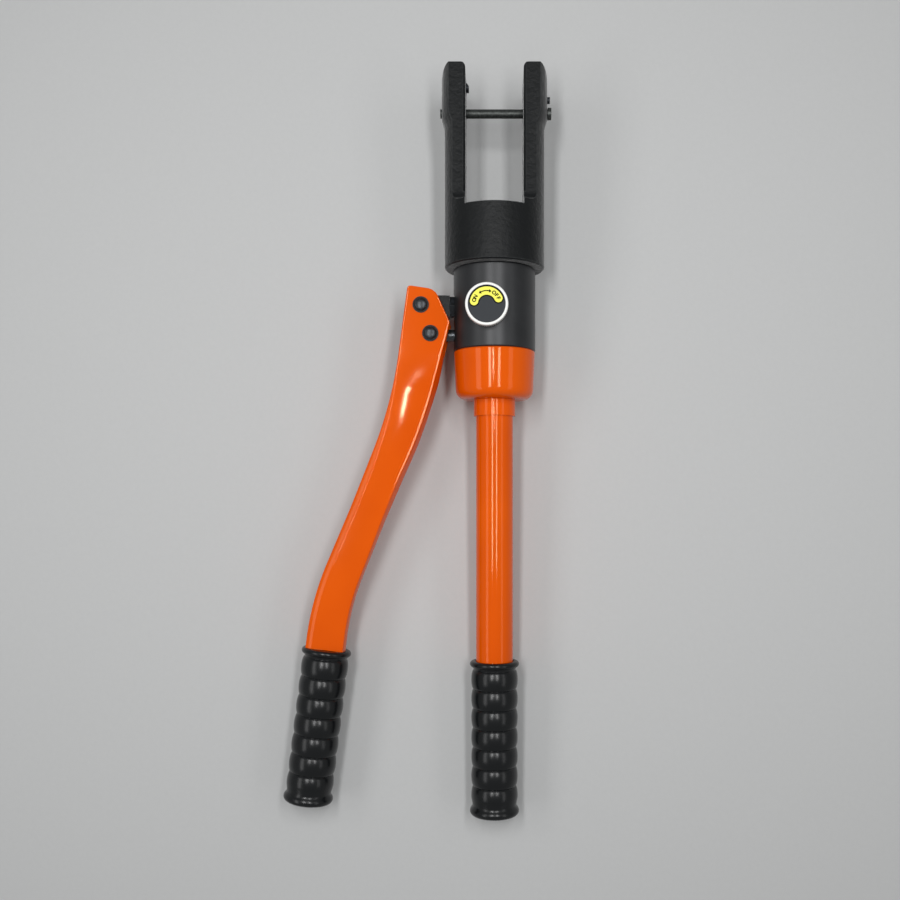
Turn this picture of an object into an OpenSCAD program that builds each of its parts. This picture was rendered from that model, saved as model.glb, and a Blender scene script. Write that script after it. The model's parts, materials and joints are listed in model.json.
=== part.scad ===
// Hand-pumped hydraulic crimping tool, lying on its back.
// The tool's axis runs along +Y towards the head, the knob side faces +Z, and the lever is on the -X side.
// The origin is the centre of the die socket's mouth, on the nose of the retracted ram.
// Sub-parts are drawn upright, with the axis along +Z and the knob side facing -Y, and then laid down.

/* [Head] */
// Diameter of the collar
head_d = 67; // [62:0.5:72]
// Length of the collar, up to the floor of the slot
collar_len = 37.3; // [36:0.1:44]
// Length of the arms above the floor of the slot
arm_len = 95.5; // [90:0.5:110]
// Width of the slot between the arms
slot_w = 38.5; // [38:0.5:42]
// Thickness of the head across its two flats
flat_t = 37; // [30:0.5:42]
// Height above the slot floor at which the flats begin
flat_start = 4; // [3:0.5:10]
// Radius at the lower end of the flats
flat_r = 6; // [3:0.5:8]
// Diameter over the ears at the top of the arms
ear_d = 71; // [67:0.5:76]
// Length of the ears, down from the tops of the arms
ear_len = 39; // [34:0.5:45]
// Width of the outer top corners of the arms, which are rounded off
arm_outer_w = 5.2; // [3:0.1:7]
// Height of the outer top corners of the arms
arm_outer_h = 9; // [5:0.5:12]
// Radius of the inner top corners of the arms
arm_inner_r = 3; // [2:0.5:5]
// Chamfer along the inner edges of the arms
arm_chamfer = 1.4; // [0.5:0.1:2.5]
// Thickness of the floor of the slot, which holds the ram's bush and wiper
floor_t = 6; // [5:0.1:8]

/* [Cross rod, catch and detent] */
// Diameter of the cross rod
rod_d = 6; // [4:0.5:9]
// Distance from the tops of the arms down to the cross rod
rod_drop = 27.5; // [26:0.5:31]
// Length of the cross rod that stands out of the left ear
rod_out_left = 1; // [0.5:0.1:4]
// Length of the cross rod's button head, outside the right ear
rod_head_t = 2.4; // [1:0.1:4]
// Diameter of the cross rod's button head
rod_head_d = 8; // [7:0.5:11]
// Distance from the tops of the arms down to the die catch
catch_drop = 10; // [9:0.5:12]
// Diameter of the nose of the die catch
catch_d = 7; // [6:0.1:8]
// Length of the die catch that stands out of the arm
catch_out = 2; // [1:0.1:3]
// Distance from the tops of the arms down to the detent pin
detent_drop = 18.4; // [16:0.1:19]
// Diameter of the detent pin
detent_d = 4.5; // [3.5:0.1:5]
// Length of the detent pin that stands out of the right ear
detent_out = 1.8; // [1:0.1:3]
// Travel of the detent pin
detent_travel = 1.5; // [1:0.1:2]
// Length of the sleeves that hold the catch and the detent pin
sleeve_len = 3; // [2:0.5:4]
// Wire diameter of the small springs
small_wire = 0.6; // [0.4:0.1:0.7]

/* [Ram and cylinder] */
// Diameter of the ram
ram_d = 34; // [32:0.5:36]
// Bore of the cylinder
cylinder_d = 42; // [41.5:0.5:44]
// Stroke of the ram
stroke = 18; // [14:1:20]
// Length of the return spring when the ram is fully out
spring_room = 14.8; // [13:0.1:16]
// Distance of the retracted ram's nose below the floor of the slot
nose_drop = 0.5; // [0.2:0.1:2]
// Length of the piston
piston_len = 12; // [11:0.5:13]
// Diameter of the socket for a die's stem
socket_d = 12; // [8:0.5:16]
// Depth of the socket
socket_depth = 14; // [8:0.5:20]
// Wire diameter of the return spring
spring_wire = 2.4; // [1.8:0.1:2.6]
// Diameter of the cylinder's neck, on which the head turns
neck_d = 51.4; // [50.5:0.1:53]
// Thickness of the stop ring at the mouth of the cylinder
stop_t = 1.8; // [1.2:0.1:2.5]
// Thickness of the ring that retains the head
retainer_t = 2; // [1.4:0.1:2.6]
// Height of that ring above the collar's lower edge
retainer_height = 12; // [8:0.5:16]

/* [Valve body and cup] */
// Diameter of the valve body
body_d = 55; // [54:0.5:58]
// Length of the valve body that shows
body_len = 55; // [54:0.5:60]
// Step of the cup's side inside the side of the valve body
cup_step = 0.1; // [0:0.1:1]
// Wall of the lower cup, around the spigot
cup_wall = 4.4; // [3:0.1:6]
// Length of the spigot
spigot_len = 12; // [9:0.5:14]
// Diameter of the nipple that carries the oil bladder
nipple_d = 14; // [13:0.5:16]
// Length of the nipple
nipple_len = 12; // [10:0.5:13]
// Length of the lower cup
cup_len = 32.4; // [31:0.1:40]
// Thickness of the cup's floor
cup_floor_t = 6; // [5:0.5:7]
// Radius of the cup's lower edge
cup_r = 6.5; // [3:0.5:8]
// Amount by which the cup's radius shrinks towards its lower end
cup_taper = 1.2; // [0:0.1:2]

/* [Handle] */
// Diameter of the handle tube
tube_d = 25; // [24:0.5:27]
// Wall of the handle tube
tube_wall = 2; // [1.5:0.1:2.5]
// Diameter of the ferrule under the cup
ferrule_d = 28; // [27.5:0.5:32]
// Length of the ferrule
ferrule_len = 11.2; // [6:0.1:15]
// Length of the handle below the ferrule
handle_len = 268.3; // [230:1:300]
// Wall of the oil bladder
bladder_wall = 1.5; // [1:0.1:2]

/* [Grips] */
// Length of each grip
grip_len = 103.7; // [95:0.1:110]
// Diameter over the ribs of the grips
grip_d = 31.4; // [30.5:0.1:34]
// Diameter in the grooves of the grips
groove_d = 28.4; // [28.2:0.1:30]
// Diameter of the rims of the grips
rim_d = 33.4; // [32:0.1:36]
// Number of ribs on each grip
ribs = 7; // [5:1:9]
// Length of the rim at the end of the grip
end_rim_len = 6.7; // [5:0.1:9]
// Length of the bead at the mouth of the grip
mouth_rim_len = 6; // [4:0.1:8]
// Thickness of the closed end of the grips
grip_floor_t = 2.5; // [2:0.1:4]

/* [Lever] */
// Distance of the fulcrum from the side of the valve body
fulcrum_reach = 21.5; // [20.5:0.1:26]
// Distance of the fulcrum below the collar's lower edge
fulcrum_drop = 25.3; // [25:0.1:27]
// Distance of the plunger's pin to the right of the fulcrum, across the lever
pin_side = 8.8; // [7:0.1:9.5]
// Distance of the plunger's pin below the fulcrum, along the lever
pin_drop = 18; // [17.5:0.1:19]
// Diameter of both lever pins
pin_d = 6; // [5:0.1:6.4]
// Diameter of the domed pin heads
pin_head_d = 8.2; // [7.5:0.1:9]
// Diameter of the washers under the pin heads
washer_d = 10.8; // [10:0.1:12]
// Tilt of the lever's fork from the tool's axis
fork_tilt = 7.6; // [5:0.1:9]
// Tilt of the lever's middle stretch
middle_tilt = 22.4; // [18:0.1:24]
// Tilt of the lever's grip
grip_tilt = 7.15; // [5:0.05:10]
// Distance of the fork's centre line to the right of the fulcrum
fork_side = 3.4; // [2.5:0.1:3.6]
// Height of the fork's top above the fulcrum
fork_top = 12.4; // [11:0.1:15]
// Reach of the cheeks to the right of the fulcrum
cheek_reach = 21; // [19.5:0.1:21.5]
// Length of the straight stretch of the fork below the fulcrum
fork_len = 28.2; // [28:0.1:40]
// Radius of the bend below the fork
upper_bend_r = 292; // [200:1:320]
// Length of the straight middle stretch
middle_len = 82; // [70:1:100]
// Radius of the bend above the grip
lower_bend_r = 180; // [120:1:220]
// Length of the straight stretch above the grip
tail_len = 7; // [4:0.5:15]
// Width of the bar at the fork
fork_w = 28; // [28:0.1:30]
// Width of the bar in its middle
middle_w = 24.6; // [22:0.1:28]
// Width of the bar at the grip
tail_w = 26.4; // [23:0.1:28]
// Depth of the bar, front to back
lever_t = 20; // [19.5:0.1:22]
// Height of the fork's cheeks above the faces of the bar
cheek_rise = 0.4; // [0.2:0.1:1]
// Radius along the edges of the bar
edge_r = 5.5; // [3:0.1:7]
// Diameter of the tang inside the lever's grip
tang_d = 20; // [16:0.5:22]

/* [Fulcrum bracket] */
// Thickness of the bracket
bracket_t = 12; // [10:0.1:12.2]
// Radius of the bracket's nose
nose_r = 7; // [6.5:0.1:7.2]
// Distance of the bracket's block from the side of the valve body
block_gap = 2.5; // [2:0.1:4]
// Diameter of the bracket's threaded stem
stud_d = 9; // [7:0.5:10]
// Width across the flats of the lock nut
locknut_w = 13; // [12:0.5:13]
// Diameter of the fulcrum bush
bush_d = 8.6; // [8:0.1:9.4]

/* [Pump and valves] */
// Diameter of the pump plunger
plunger_d = 8; // [6:0.5:9]
// Wall of the pump gland
gland_wall = 3; // [2.5:0.1:3.5]
// Room on each side of the pin in the plunger's slot
slot_room = 0.5; // [0.4:0.05:0.8]
// Diameter of the check valve bores
valve_bore_d = 7; // [6.4:0.1:7.4]
// Diameter of the valve balls
ball_d = 5; // [4.6:0.1:5.6]
// Diameter of the passages
passage_d = 3; // [2:0.1:3.2]
// Diameter of the relief screw
relief_d = 8; // [7:0.1:9]

/* [Release knob] */
// Distance of the knob to the left of the tool's axis
knob_x = 5; // [4:0.5:6]
// Distance of the knob below the collar's lower edge
knob_drop = 29.2; // [28:0.1:31]
// Diameter of the knob over its rim
knob_d = 28; // [24:0.5:32]
// Thickness of the knob
knob_t = 6.2; // [5:0.1:8]
// Width of the knob's rim
knob_rim = 1.9; // [1.5:0.1:3]
// Diameter of the knob's stem
stem_d = 7; // [6:0.1:8]
// Depth of the stem's seat in the knob
hub_depth = 4; // [3:0.1:4.5]
// Width of the label's arc
label_w = 6; // [4:0.1:7]
// Margin between the label's arc and the rim
label_margin = 0.6; // [0.3:0.1:2]
// Thickness of the label
label_t = 0.25; // [0.2:0.05:0.4]
// Angle that the label's arc covers
label_angle = 170; // [90:1:180]

/* [Clearances] */
// Radial room of a running fit
running = 0.05; // [0.02:0.01:0.1]
// Radial room of a seat within one body
seat = 0.03; // [0.01:0.01:0.06]
// Room between pieces that move past each other
gap = 0.3; // [0.3:0.05:0.35]
// End play of springs, rings and plugs
play = 0.1; // [0.05:0.01:0.15]
// Room on each side of the bracket in the lever's fork
fork_room = 0.5; // [0.4:0.05:0.8]

/* [Hidden] */
$fn = 64;

// Levels along the tool's axis
slot_z = nose_drop;
top_z = slot_z + arm_len;
collar_z = slot_z - collar_len;
shoulder_z = collar_z - gap;
neck_top_z = slot_z - floor_t - gap;
cup_z = shoulder_z - body_len;
spigot_z = cup_z - spigot_len;
nipple_z = spigot_z - nipple_len;
cup_bottom_z = cup_z - cup_len;
ferrule_z = cup_bottom_z - ferrule_len;
end_z = ferrule_z - handle_len;
rod_z = top_z - rod_drop;
catch_z = top_z - catch_drop;
detent_z = top_z - detent_drop;
fulcrum_z = collar_z - fulcrum_drop;
knob_z = collar_z - knob_drop;
retainer_z = collar_z + retainer_height;

// Radii that several pieces share
ear_r = ear_d / 2;
body_r = body_d / 2;
cup_d = body_d - 2 * cup_step;
spigot_d = cup_d - 2 * cup_wall;
fulcrum_x = body_r + fulcrum_reach;
block_x = body_r + block_gap;
slot_r = slot_w / 2;
guide_d = ram_d + 4;
tube_bore_d = tube_d - 2 * tube_wall;
retainer_reach = 0.6;
retainer_out_d = neck_d + 2 * gap + 2 * retainer_reach;
retainer_in_d = neck_d - retainer_t;
stop_d = cylinder_d + stop_t;
// Length by which cutters run past the faces that they cut
over = 1;

// Ram and its spring: the cylinder is as deep as the stroke needs
stop_lip = 1.2;
piston_lift = 0.4;
stop_z = neck_top_z - stop_t - stop_lip;
piston_top_z = stop_z - spring_room - stroke;
piston_z = piston_top_z - piston_len;
cylinder_z = piston_z - piston_lift;
piston_land = 1.6;
seal_h = 3.4;
seal_w = 3;
seal_z = piston_z + piston_land;
seal_in_d = cylinder_d - 2 * seal_w;
guide_ring_h = 2.4;
guide_ring_w = 1.5;
guide_ring_z = piston_top_z - guide_ring_h - piston_land;
guide_ring_in_d = cylinder_d - 2 * guide_ring_w;

// Catch and detent in the arms
sleeve_recess = 0.2;
sleeve_wall = 1.7;
catch_sleeve_d = catch_d + 2 * sleeve_wall;
catch_flange_d = catch_d + sleeve_wall;
catch_flange_t = 1.6;
catch_flange_x = slot_r + sleeve_len + gap;
catch_spring_room = 4;
catch_bore_x = catch_flange_x + catch_flange_t + catch_out + catch_spring_room;
detent_flange_d = detent_d + 2 * sleeve_wall;
detent_sleeve_d = detent_flange_d + 2 * gap;
detent_flange_t = 1.5;
detent_sleeve_x = ear_r - sleeve_len - sleeve_recess;
detent_flange_x = detent_sleeve_x - detent_flange_t - play;
detent_spring_room = 3.6;
detent_bore_x = detent_flange_x - detent_travel - detent_spring_room;

// Lever pins, seen from the tool's axis
pin_x = -fulcrum_x + pin_side * cos(fork_tilt) - pin_drop * sin(fork_tilt);
pump_z = fulcrum_z - pin_side * sin(fork_tilt) - pin_drop * cos(fork_tilt);
cheek_t = lever_t + 2 * cheek_rise;
fork_gap = bracket_t + 2 * fork_room;
washer_t = 0.8;
clip_t = 0.7;
clip_depth = 0.8;
clip_groove = -cheek_t / 2 - clip_t - play;
pin_end = clip_groove - clip_depth;

// Plunger, with a slot that lets its pin rise and fall as the lever swings
plunger_slot_w = pin_d + 2 * slot_room;
plunger_slot_low = pin_d / 2 + 1.5;
plunger_slot_high = pin_d / 2 + 2;
head_side = 2.6;
head_wall = 2.8;
plunger_head_w = plunger_slot_w + 2 * head_side;
plunger_head_t = fork_gap - 4 * fork_room;
plunger_in_x = 3;
gland_face_x = body_r - 1.4;
gland_in_x = body_r - 12;
seal_in_x = gland_in_x - 2.6;
gland_d = plunger_d + 2 * gland_wall;
plunger_seal_d = gland_d - 2;
chamber_end_x = 8;

// Valves
outlet_seat_z = pump_z + plunger_d / 2 + 2.6;
inlet_seat_z = spigot_z + 2;
inlet_seat_h = 4;
inlet_top_z = pump_z - plunger_d / 2 - 2.4;
valve_plug_h = 4.4;
ball_lift = sqrt(pow(ball_d / 2, 2) - pow(passage_d / 2, 2)) + gap / 3;
relief_seat_y = 9;
relief_share = 0.486;
relief_screw_y = relief_seat_y + relief_share * (body_r - relief_seat_y);
stem_seat_y = 8;
stem_seal_y = body_r - 7.5;
stem_seal_h = 2.4;
stem_gland_d = stem_d + 3.6;
knob_back_y = body_r + gap;
knob_face_y = knob_back_y + knob_t;
knob_lip = 0.2;
label_turn = 97;
label_r_out = knob_d / 2 - knob_rim - label_margin;
return_y = 13.5;

// Lever in its own frame: the fulcrum is at the origin, and the fork's centre line runs down along -Z
upper_turn = middle_tilt - fork_tilt;
lower_turn = middle_tilt - grip_tilt;
upper_bend_len = upper_bend_r * upper_turn * PI / 180;
lower_bend_len = lower_bend_r * lower_turn * PI / 180;
bend_start = fork_top + fork_len;
bend_end = bend_start + upper_bend_len;
lower_start = bend_end + middle_len;
lower_end = lower_start + lower_bend_len;
bar_len = lower_end + tail_len;

// Tilt of the bar at a distance s below its top, and its width there
function bar_tilt(s) = lookup(s, [
    [bend_start, 0], [bend_end, upper_turn], [lower_start, upper_turn], [lower_end, upper_turn - lower_turn]
]);
function bar_width(s) = lookup(s, [
    [bend_start, fork_w], [(bend_end + lower_start) / 2, middle_w], [lower_end, tail_w]
]);
function along(s) = [-sin(bar_tilt(s)), 0, -cos(bar_tilt(s))];
function across(s) = [cos(bar_tilt(s)), 0, -sin(bar_tilt(s))];

// Points along the bar's centre line, found by adding up short steps
bar_step = bar_len / 120;
bar_start = [fork_side, 0, fork_top];
bar_line = [
    for (i = 0, p = bar_start; i <= 120; p = p + bar_step * along((i + 0.5) * bar_step), i = i + 1) p
];
bar_end = bar_line[120];

// Corner points of a rounded rectangle, with five points on each corner
function rounded_corner(w, t, r) = [
    for (c = [[1, 1, 0], [-1, 1, 90], [-1, -1, 180], [1, -1, 270]], k = [0:4])
        [c[0] * (w / 2 - r) + r * cos(c[2] + k * 22.5), c[1] * (t / 2 - r) + r * sin(c[2] + k * 22.5)]
];
bar_rings = [
    for (i = [0:4:120])
        let (s = i * bar_step)
            [
                for (q = rounded_corner(bar_width(s), lever_t, edge_r))
                    bar_line[i] + q[0] * across(s) + [0, q[1], 0]
            ]
];

// Colours of the finishes
paint = "#E65A00";
satin_black = "#26282A";
dark_grey = "#2E3032";
steel = "#C9CCCE";
bronze = "#B08040";
rubber = "#14171A";
nitrile = "#202020";
spring_steel = "#9A9DA0";

// Lays an upright sub-part on its back
module lay() { rotate([-90, 0, 0]) children(); }

// Directions of cross holes: local Z points out to the left, to the right, to the front or to the back
module left(z) { translate([0, 0, z]) rotate([0, -90, 0]) children(); }
module right(z) { translate([0, 0, z]) rotate([0, 90, 0]) children(); }
module front(x, z) { translate([x, 0, z]) rotate([90, 0, 0]) children(); }
module back(x, z) { translate([x, 0, z]) rotate([-90, 0, 0]) children(); }
module lever_frame() { translate([-fulcrum_x, 0, fulcrum_z]) rotate([0, fork_tilt, 0]) children(); }

// A cylinder from one height to another
module rod(d, from, to) { translate([0, 0, from]) cylinder(d = d, h = to - from); }

module ring(out_d, in_d, from, to) {
    difference() {
        rod(out_d, from, to);
        rod(in_d, from - over, to + over);
    }
}

// A solid skin through rings of points, closed at both ends
module skin(rings) {
    n = len(rings[0]);
    last = len(rings) - 1;
    sides = [
        for (i = [0:last - 1], j = [0:n - 1])
            let (a = i * n + j, b = i * n + (j + 1) % n)
                each [[a, b, b + n], [a, b + n, a + n]]
    ];
    polyhedron(
        points = [for (r = rings) each r],
        faces = concat(sides, [[for (j = [n - 1:-1:0]) j]], [[for (j = [0:n - 1]) last * n + j]])
    );
}

// A compression spring between two heights
module coil(d, wire, from, to, turns, steps = 8) {
    count = steps * turns;
    skin([
        for (k = [0:count])
            let (a = 360 * k / steps, z = from + wire / 2 + (to - from - wire) * k / count)
                [for (j = [0:5]) let (r = d / 2 - wire / 2 * cos(60 * j))
                    [r * cos(a), r * sin(a), z + wire / 2 * sin(60 * j)]]
    ]);
}

// Cutter for a rounded corner: the corner's tip is at the origin and the solid lies at -X and -Z
module corner_cutter(w, h, depth) {
    arc = [for (a = [0:15:90]) [w * cos(a) - w, h * sin(a) - h]];
    rotate([90, 0, 0])
        linear_extrude(depth, center = true)
            polygon(concat([[over, over], [over, -h]], arc, [[-w, over]]));
}

// Cutter for the flat on one side of the head, with a round run-out at its lower end
module flat_cutter() {
    y = flat_t / 2;
    z = slot_z + flat_start;
    run_out = [for (a = [0:15:90]) [y + flat_r - flat_r * cos(a), z + flat_r - flat_r * sin(a)]];
    rotate([90, 0, 90])
        linear_extrude(2 * ear_d, center = true)
            polygon(concat([[y, top_z + over]], run_out, [[ear_d, z], [ear_d, top_z + over]]));
}

module head_outline() {
    lip = 1;
    r = head_d / 2;
    ear_z = top_z - ear_len;
    ear_slope = 7;
    polygon([
        [0, collar_z], [r - lip, collar_z], [r, collar_z + lip], [r, ear_z], [ear_r, ear_z + ear_slope],
        [ear_r, top_z], [0, top_z]
    ]);
}

module yoke_head() {
    edge = arm_chamfer * sqrt(2);
    edge_len = arm_len - flat_start - flat_r;
    floor_z = slot_z - floor_t;
    color(satin_black) lay() difference() {
        rotate_extrude() head_outline();
        translate([-slot_r, -ear_d, slot_z]) cube([slot_w, 2 * ear_d, arm_len + over]);
        flat_cutter();
        mirror([0, 1, 0]) flat_cutter();
        for (s = [0, 1]) mirror([s, 0, 0]) {
            translate([ear_r, 0, top_z]) corner_cutter(arm_outer_w, arm_outer_h, ear_d);
            translate([slot_r, 0, top_z]) mirror([1, 0, 0]) corner_cutter(arm_inner_r, arm_inner_r, ear_d);
            for (f = [-1, 1]) translate([slot_r, f * flat_t / 2, top_z]) rotate([0, 0, 45])
                cube([edge, edge, 2 * edge_len], center = true);
        }
        rod(neck_d + 2 * gap, collar_z - over, floor_z);
        rod(guide_d + 2 * seat, floor_z - over, slot_z + over);
        rod(retainer_out_d + 2 * gap, retainer_z - gap, retainer_z + retainer_t + gap);
        right(rod_z) rod(rod_d + 2 * running, -ear_d, ear_d);
        left(catch_z) rod(catch_sleeve_d + 2 * seat, 0, catch_bore_x);
        right(detent_z) rod(detent_d + 2 * gap, 0, ear_d);
        right(detent_z) rod(detent_sleeve_d + 2 * seat, detent_bore_x, ear_d);
    }
}

bush_h = floor_t / 2;
module ram_guide_bush() {
    color(bronze) lay() ring(guide_d, ram_d + 2 * running, slot_z - floor_t, slot_z - floor_t + bush_h);
}
module ram_wiper() {
    color(nitrile) lay() ring(guide_d, ram_d + 2 * running, slot_z - floor_t + bush_h, slot_z - gap);
}

// The cross rod pulls out to the right by its button head
module cross_pin() {
    color(steel) lay() right(rod_z) {
        rod(rod_d, -ear_r - rod_out_left, ear_r + gap);
        rod(rod_head_d, ear_r + gap, ear_r + gap + rod_head_t);
    }
}

// The nose of the catch slopes at the top, so that a die can push it in from above
module die_catch() {
    tip_x = slot_r - catch_out;
    color(satin_black) lay() left(catch_z) difference() {
        union() {
            rod(catch_d - 2 * gap, tip_x, catch_flange_x);
            rod(catch_flange_d, catch_flange_x, catch_flange_x + catch_flange_t);
        }
        translate([0, 0, tip_x]) rotate([0, -atan(2 * catch_out / catch_d), 0])
            translate([0, -catch_d, -catch_d]) cube([catch_d, 2 * catch_d, catch_d]);
    }
}
module catch_sleeve() {
    color(steel) lay() left(catch_z)
        ring(catch_sleeve_d, catch_d, slot_r + sleeve_recess, slot_r + sleeve_len);
}
module catch_spring() {
    from = catch_flange_x + catch_flange_t + play;
    color(spring_steel) lay() left(catch_z)
        coil(catch_d - sleeve_wall, small_wire, from, catch_bore_x - play, 3);
}

module detent_pin() {
    color(satin_black) lay() right(detent_z) {
        rod(detent_d, slot_r + gap, ear_r + detent_out);
        rod(detent_flange_d, detent_flange_x, detent_flange_x + detent_flange_t);
    }
}
module detent_sleeve() {
    color(steel) lay() right(detent_z)
        ring(detent_sleeve_d, detent_d + 2 * gap, detent_sleeve_x, detent_sleeve_x + sleeve_len);
}
module detent_spring() {
    color(spring_steel) lay() right(detent_z)
        coil(detent_d + sleeve_wall, small_wire, detent_bore_x + play, detent_flange_x - play, 3);
}

module ram() {
    r = ram_d / 2;
    piston_r = cylinder_d / 2 - gap;
    seal_r = seal_in_d / 2 - seat;
    ring_r = guide_ring_in_d / 2 - seat;
    lip = 1;
    color(steel) lay() rotate_extrude() polygon([
        [0, piston_z], [piston_r, piston_z],
        [piston_r, seal_z - seat], [seal_r, seal_z - seat], [seal_r, seal_z + seal_h + seat],
        [piston_r, seal_z + seal_h + seat], [piston_r, guide_ring_z - seat], [ring_r, guide_ring_z - seat],
        [ring_r, guide_ring_z + guide_ring_h + seat], [piston_r, guide_ring_z + guide_ring_h + seat],
        [piston_r, piston_top_z], [r, piston_top_z], [r, -lip], [r - lip, 0],
        [socket_d / 2, 0], [socket_d / 2, -socket_depth], [0, -socket_depth]
    ]);
}
module piston_seal() {
    color(nitrile) lay() ring(cylinder_d - 2 * running, seal_in_d, seal_z, seal_z + seal_h);
}
module piston_guide_ring() {
    color(bronze) lay()
        ring(cylinder_d - 2 * running, guide_ring_in_d, guide_ring_z, guide_ring_z + guide_ring_h);
}
module ram_return_spring() {
    color(spring_steel) lay()
        coil((cylinder_d + ram_d) / 2, spring_wire, piston_top_z + play, stop_z - play, 3.5, 16);
}
module cylinder_stop_ring() { color(steel) lay() ring(stop_d, ram_d + 4 * gap, stop_z, stop_z + stop_t); }
module head_retaining_ring() {
    color(spring_steel) lay()
        ring(retainer_out_d, retainer_in_d + 2 * seat, retainer_z, retainer_z + retainer_t);
}

// Outline of the valve body turned about the tool's axis: nipple, spigot, body, neck and cylinder bore
cup_seal_h = 2;
cup_seal_z = cup_z - spigot_len / 2;
cup_seal_in_d = spigot_d - 2 * cup_seal_h;
module valve_body_outline() {
    neck_r = neck_d / 2;
    lip = 0.8;
    bore_r = cylinder_d / 2;
    stop_r = stop_d / 2 + seat;
    seal_r = cup_seal_in_d / 2 - seat;
    polygon([
        [0, nipple_z], [nipple_d / 2, nipple_z], [nipple_d / 2, spigot_z], [spigot_d / 2, spigot_z],
        [spigot_d / 2, cup_seal_z - seat], [seal_r, cup_seal_z - seat],
        [seal_r, cup_seal_z + cup_seal_h + seat], [spigot_d / 2, cup_seal_z + cup_seal_h + seat],
        [spigot_d / 2, cup_z], [body_r - lip, cup_z], [body_r, cup_z + lip], [body_r, shoulder_z - lip],
        [body_r - lip, shoulder_z], [neck_r, shoulder_z], [neck_r, retainer_z - seat],
        [retainer_in_d / 2, retainer_z - seat], [retainer_in_d / 2, retainer_z + retainer_t + seat],
        [neck_r, retainer_z + retainer_t + seat], [neck_r, neck_top_z], [bore_r, neck_top_z],
        [bore_r, stop_z + stop_t + seat], [stop_r, stop_z + stop_t + seat], [stop_r, stop_z - seat],
        [bore_r, stop_z - seat], [bore_r, cylinder_z], [0, cylinder_z]
    ]);
}
spot_depth = 0.9;
spot_x = body_r - spot_depth;
module valve_body() {
    color(dark_grey) lay() difference() {
        rotate_extrude() valve_body_outline();
        left(pump_z) {
            rod(gland_d + 2 * seat, gland_in_x, body_d);
            rod(plunger_seal_d + 2 * seat, seal_in_x, body_d);
            rod(plunger_d + 2 * gap, -chamber_end_x, body_d);
        }
        left(fulcrum_z) {
            rod(stud_d + 2 * seat, gland_in_x, body_d);
            rod(locknut_w + 5, spot_x, body_d);
        }
        front(-knob_x, knob_z) {
            rod(stem_gland_d + 2 * seat, stem_seal_y, body_d);
            rod(stem_d + 2 * gap, stem_seat_y, body_d);
            rod(passage_d, -relief_seat_y - over, body_r);
        }
        back(-knob_x, knob_z) rod(relief_d + 2 * seat, relief_seat_y, body_d);
        translate([-knob_x, 0, 0]) {
            rod(valve_bore_d, outlet_seat_z, cylinder_z + over);
            rod(passage_d, pump_z, outlet_seat_z + over);
        }
        rod(valve_bore_d, nipple_z - over, inlet_top_z);
        rod(passage_d, inlet_top_z - over, pump_z);
        for (s = [-1, 1]) translate([-knob_x, s * return_y, 0]) rod(passage_d, spigot_z - over, knob_z);
    }
}

// The bracket's stem screws into the valve body, and its nose carries the lever
module fulcrum_bracket() {
    color(satin_black) lay() translate([0, 0, fulcrum_z]) difference() {
        union() {
            rotate([90, 0, 0]) linear_extrude(bracket_t, center = true) {
                translate([-fulcrum_x, 0]) circle(nose_r);
                translate([-fulcrum_x, -nose_r]) square([fulcrum_x - block_x, 2 * nose_r]);
            }
            left(0) rod(stud_d, gland_in_x + gap, block_x + over);
        }
        front(-fulcrum_x, 0) rod(bush_d + 2 * seat, -bracket_t, bracket_t);
    }
}
module bracket_locknut() {
    color(dark_grey) lay() left(fulcrum_z) difference() {
        translate([0, 0, spot_x]) rotate(30)
            cylinder(d = locknut_w / cos(30), h = block_x - spot_x, $fn = 6);
        rod(stud_d + 2 * seat, 0, body_d);
    }
}
module fulcrum_bush() {
    color(bronze) lay() front(-fulcrum_x, fulcrum_z)
        ring(bush_d, pin_d + 2 * running, -bracket_t / 2, bracket_t / 2);
}

module pump_gland() {
    color(steel) lay() left(pump_z) ring(gland_d, plunger_d + 2 * running, gland_in_x, gland_face_x);
}
module plunger_seal() {
    color(nitrile) lay() left(pump_z) ring(plunger_seal_d, plunger_d + 2 * running, seal_in_x, gland_in_x);
}
module pump_plunger() {
    high = plunger_slot_high + head_wall;
    low = plunger_slot_low + head_wall;
    color(steel) lay() translate([0, 0, pump_z]) difference() {
        union() {
            translate([pin_x - plunger_head_w / 2, -plunger_head_t / 2, -low])
                cube([plunger_head_w, plunger_head_t, low + high]);
            right(0) rod(plunger_d, pin_x + plunger_head_w / 2 - over, plunger_in_x);
        }
        translate([pin_x - plunger_slot_w / 2, -plunger_head_t, -plunger_slot_low])
            cube([plunger_slot_w, 2 * plunger_head_t, plunger_slot_low + plunger_slot_high]);
    }
}

valve_ring_d = valve_bore_d - 2 * seat;
valve_coil_d = valve_bore_d - 4 * small_wire;
ball_top = ball_lift + ball_d / 2 + play;
module inlet_seat() {
    color(steel) lay() ring(valve_ring_d, passage_d, inlet_seat_z - inlet_seat_h, inlet_seat_z);
}
module inlet_ball() { color(steel) lay() translate([0, 0, inlet_seat_z + ball_lift]) sphere(d = ball_d); }
module inlet_spring() {
    color(spring_steel) lay()
        coil(valve_coil_d, small_wire, inlet_seat_z + ball_top, inlet_top_z - play, 3);
}
module outlet_ball() {
    color(steel) lay() translate([-knob_x, 0, outlet_seat_z + ball_lift]) sphere(d = ball_d);
}
outlet_plug_z = cylinder_z - valve_plug_h - play;
module outlet_spring() {
    color(spring_steel) lay() translate([-knob_x, 0, 0])
        coil(valve_coil_d, small_wire, outlet_seat_z + ball_top, outlet_plug_z - play, 4);
}
module outlet_plug() {
    color(steel) lay() translate([-knob_x, 0, 0])
        ring(valve_ring_d, passage_d, outlet_plug_z, outlet_plug_z + valve_plug_h);
}
module relief_ball() {
    color(steel) lay() back(-knob_x, knob_z) translate([0, 0, relief_seat_y + ball_lift]) sphere(d = ball_d);
}
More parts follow.
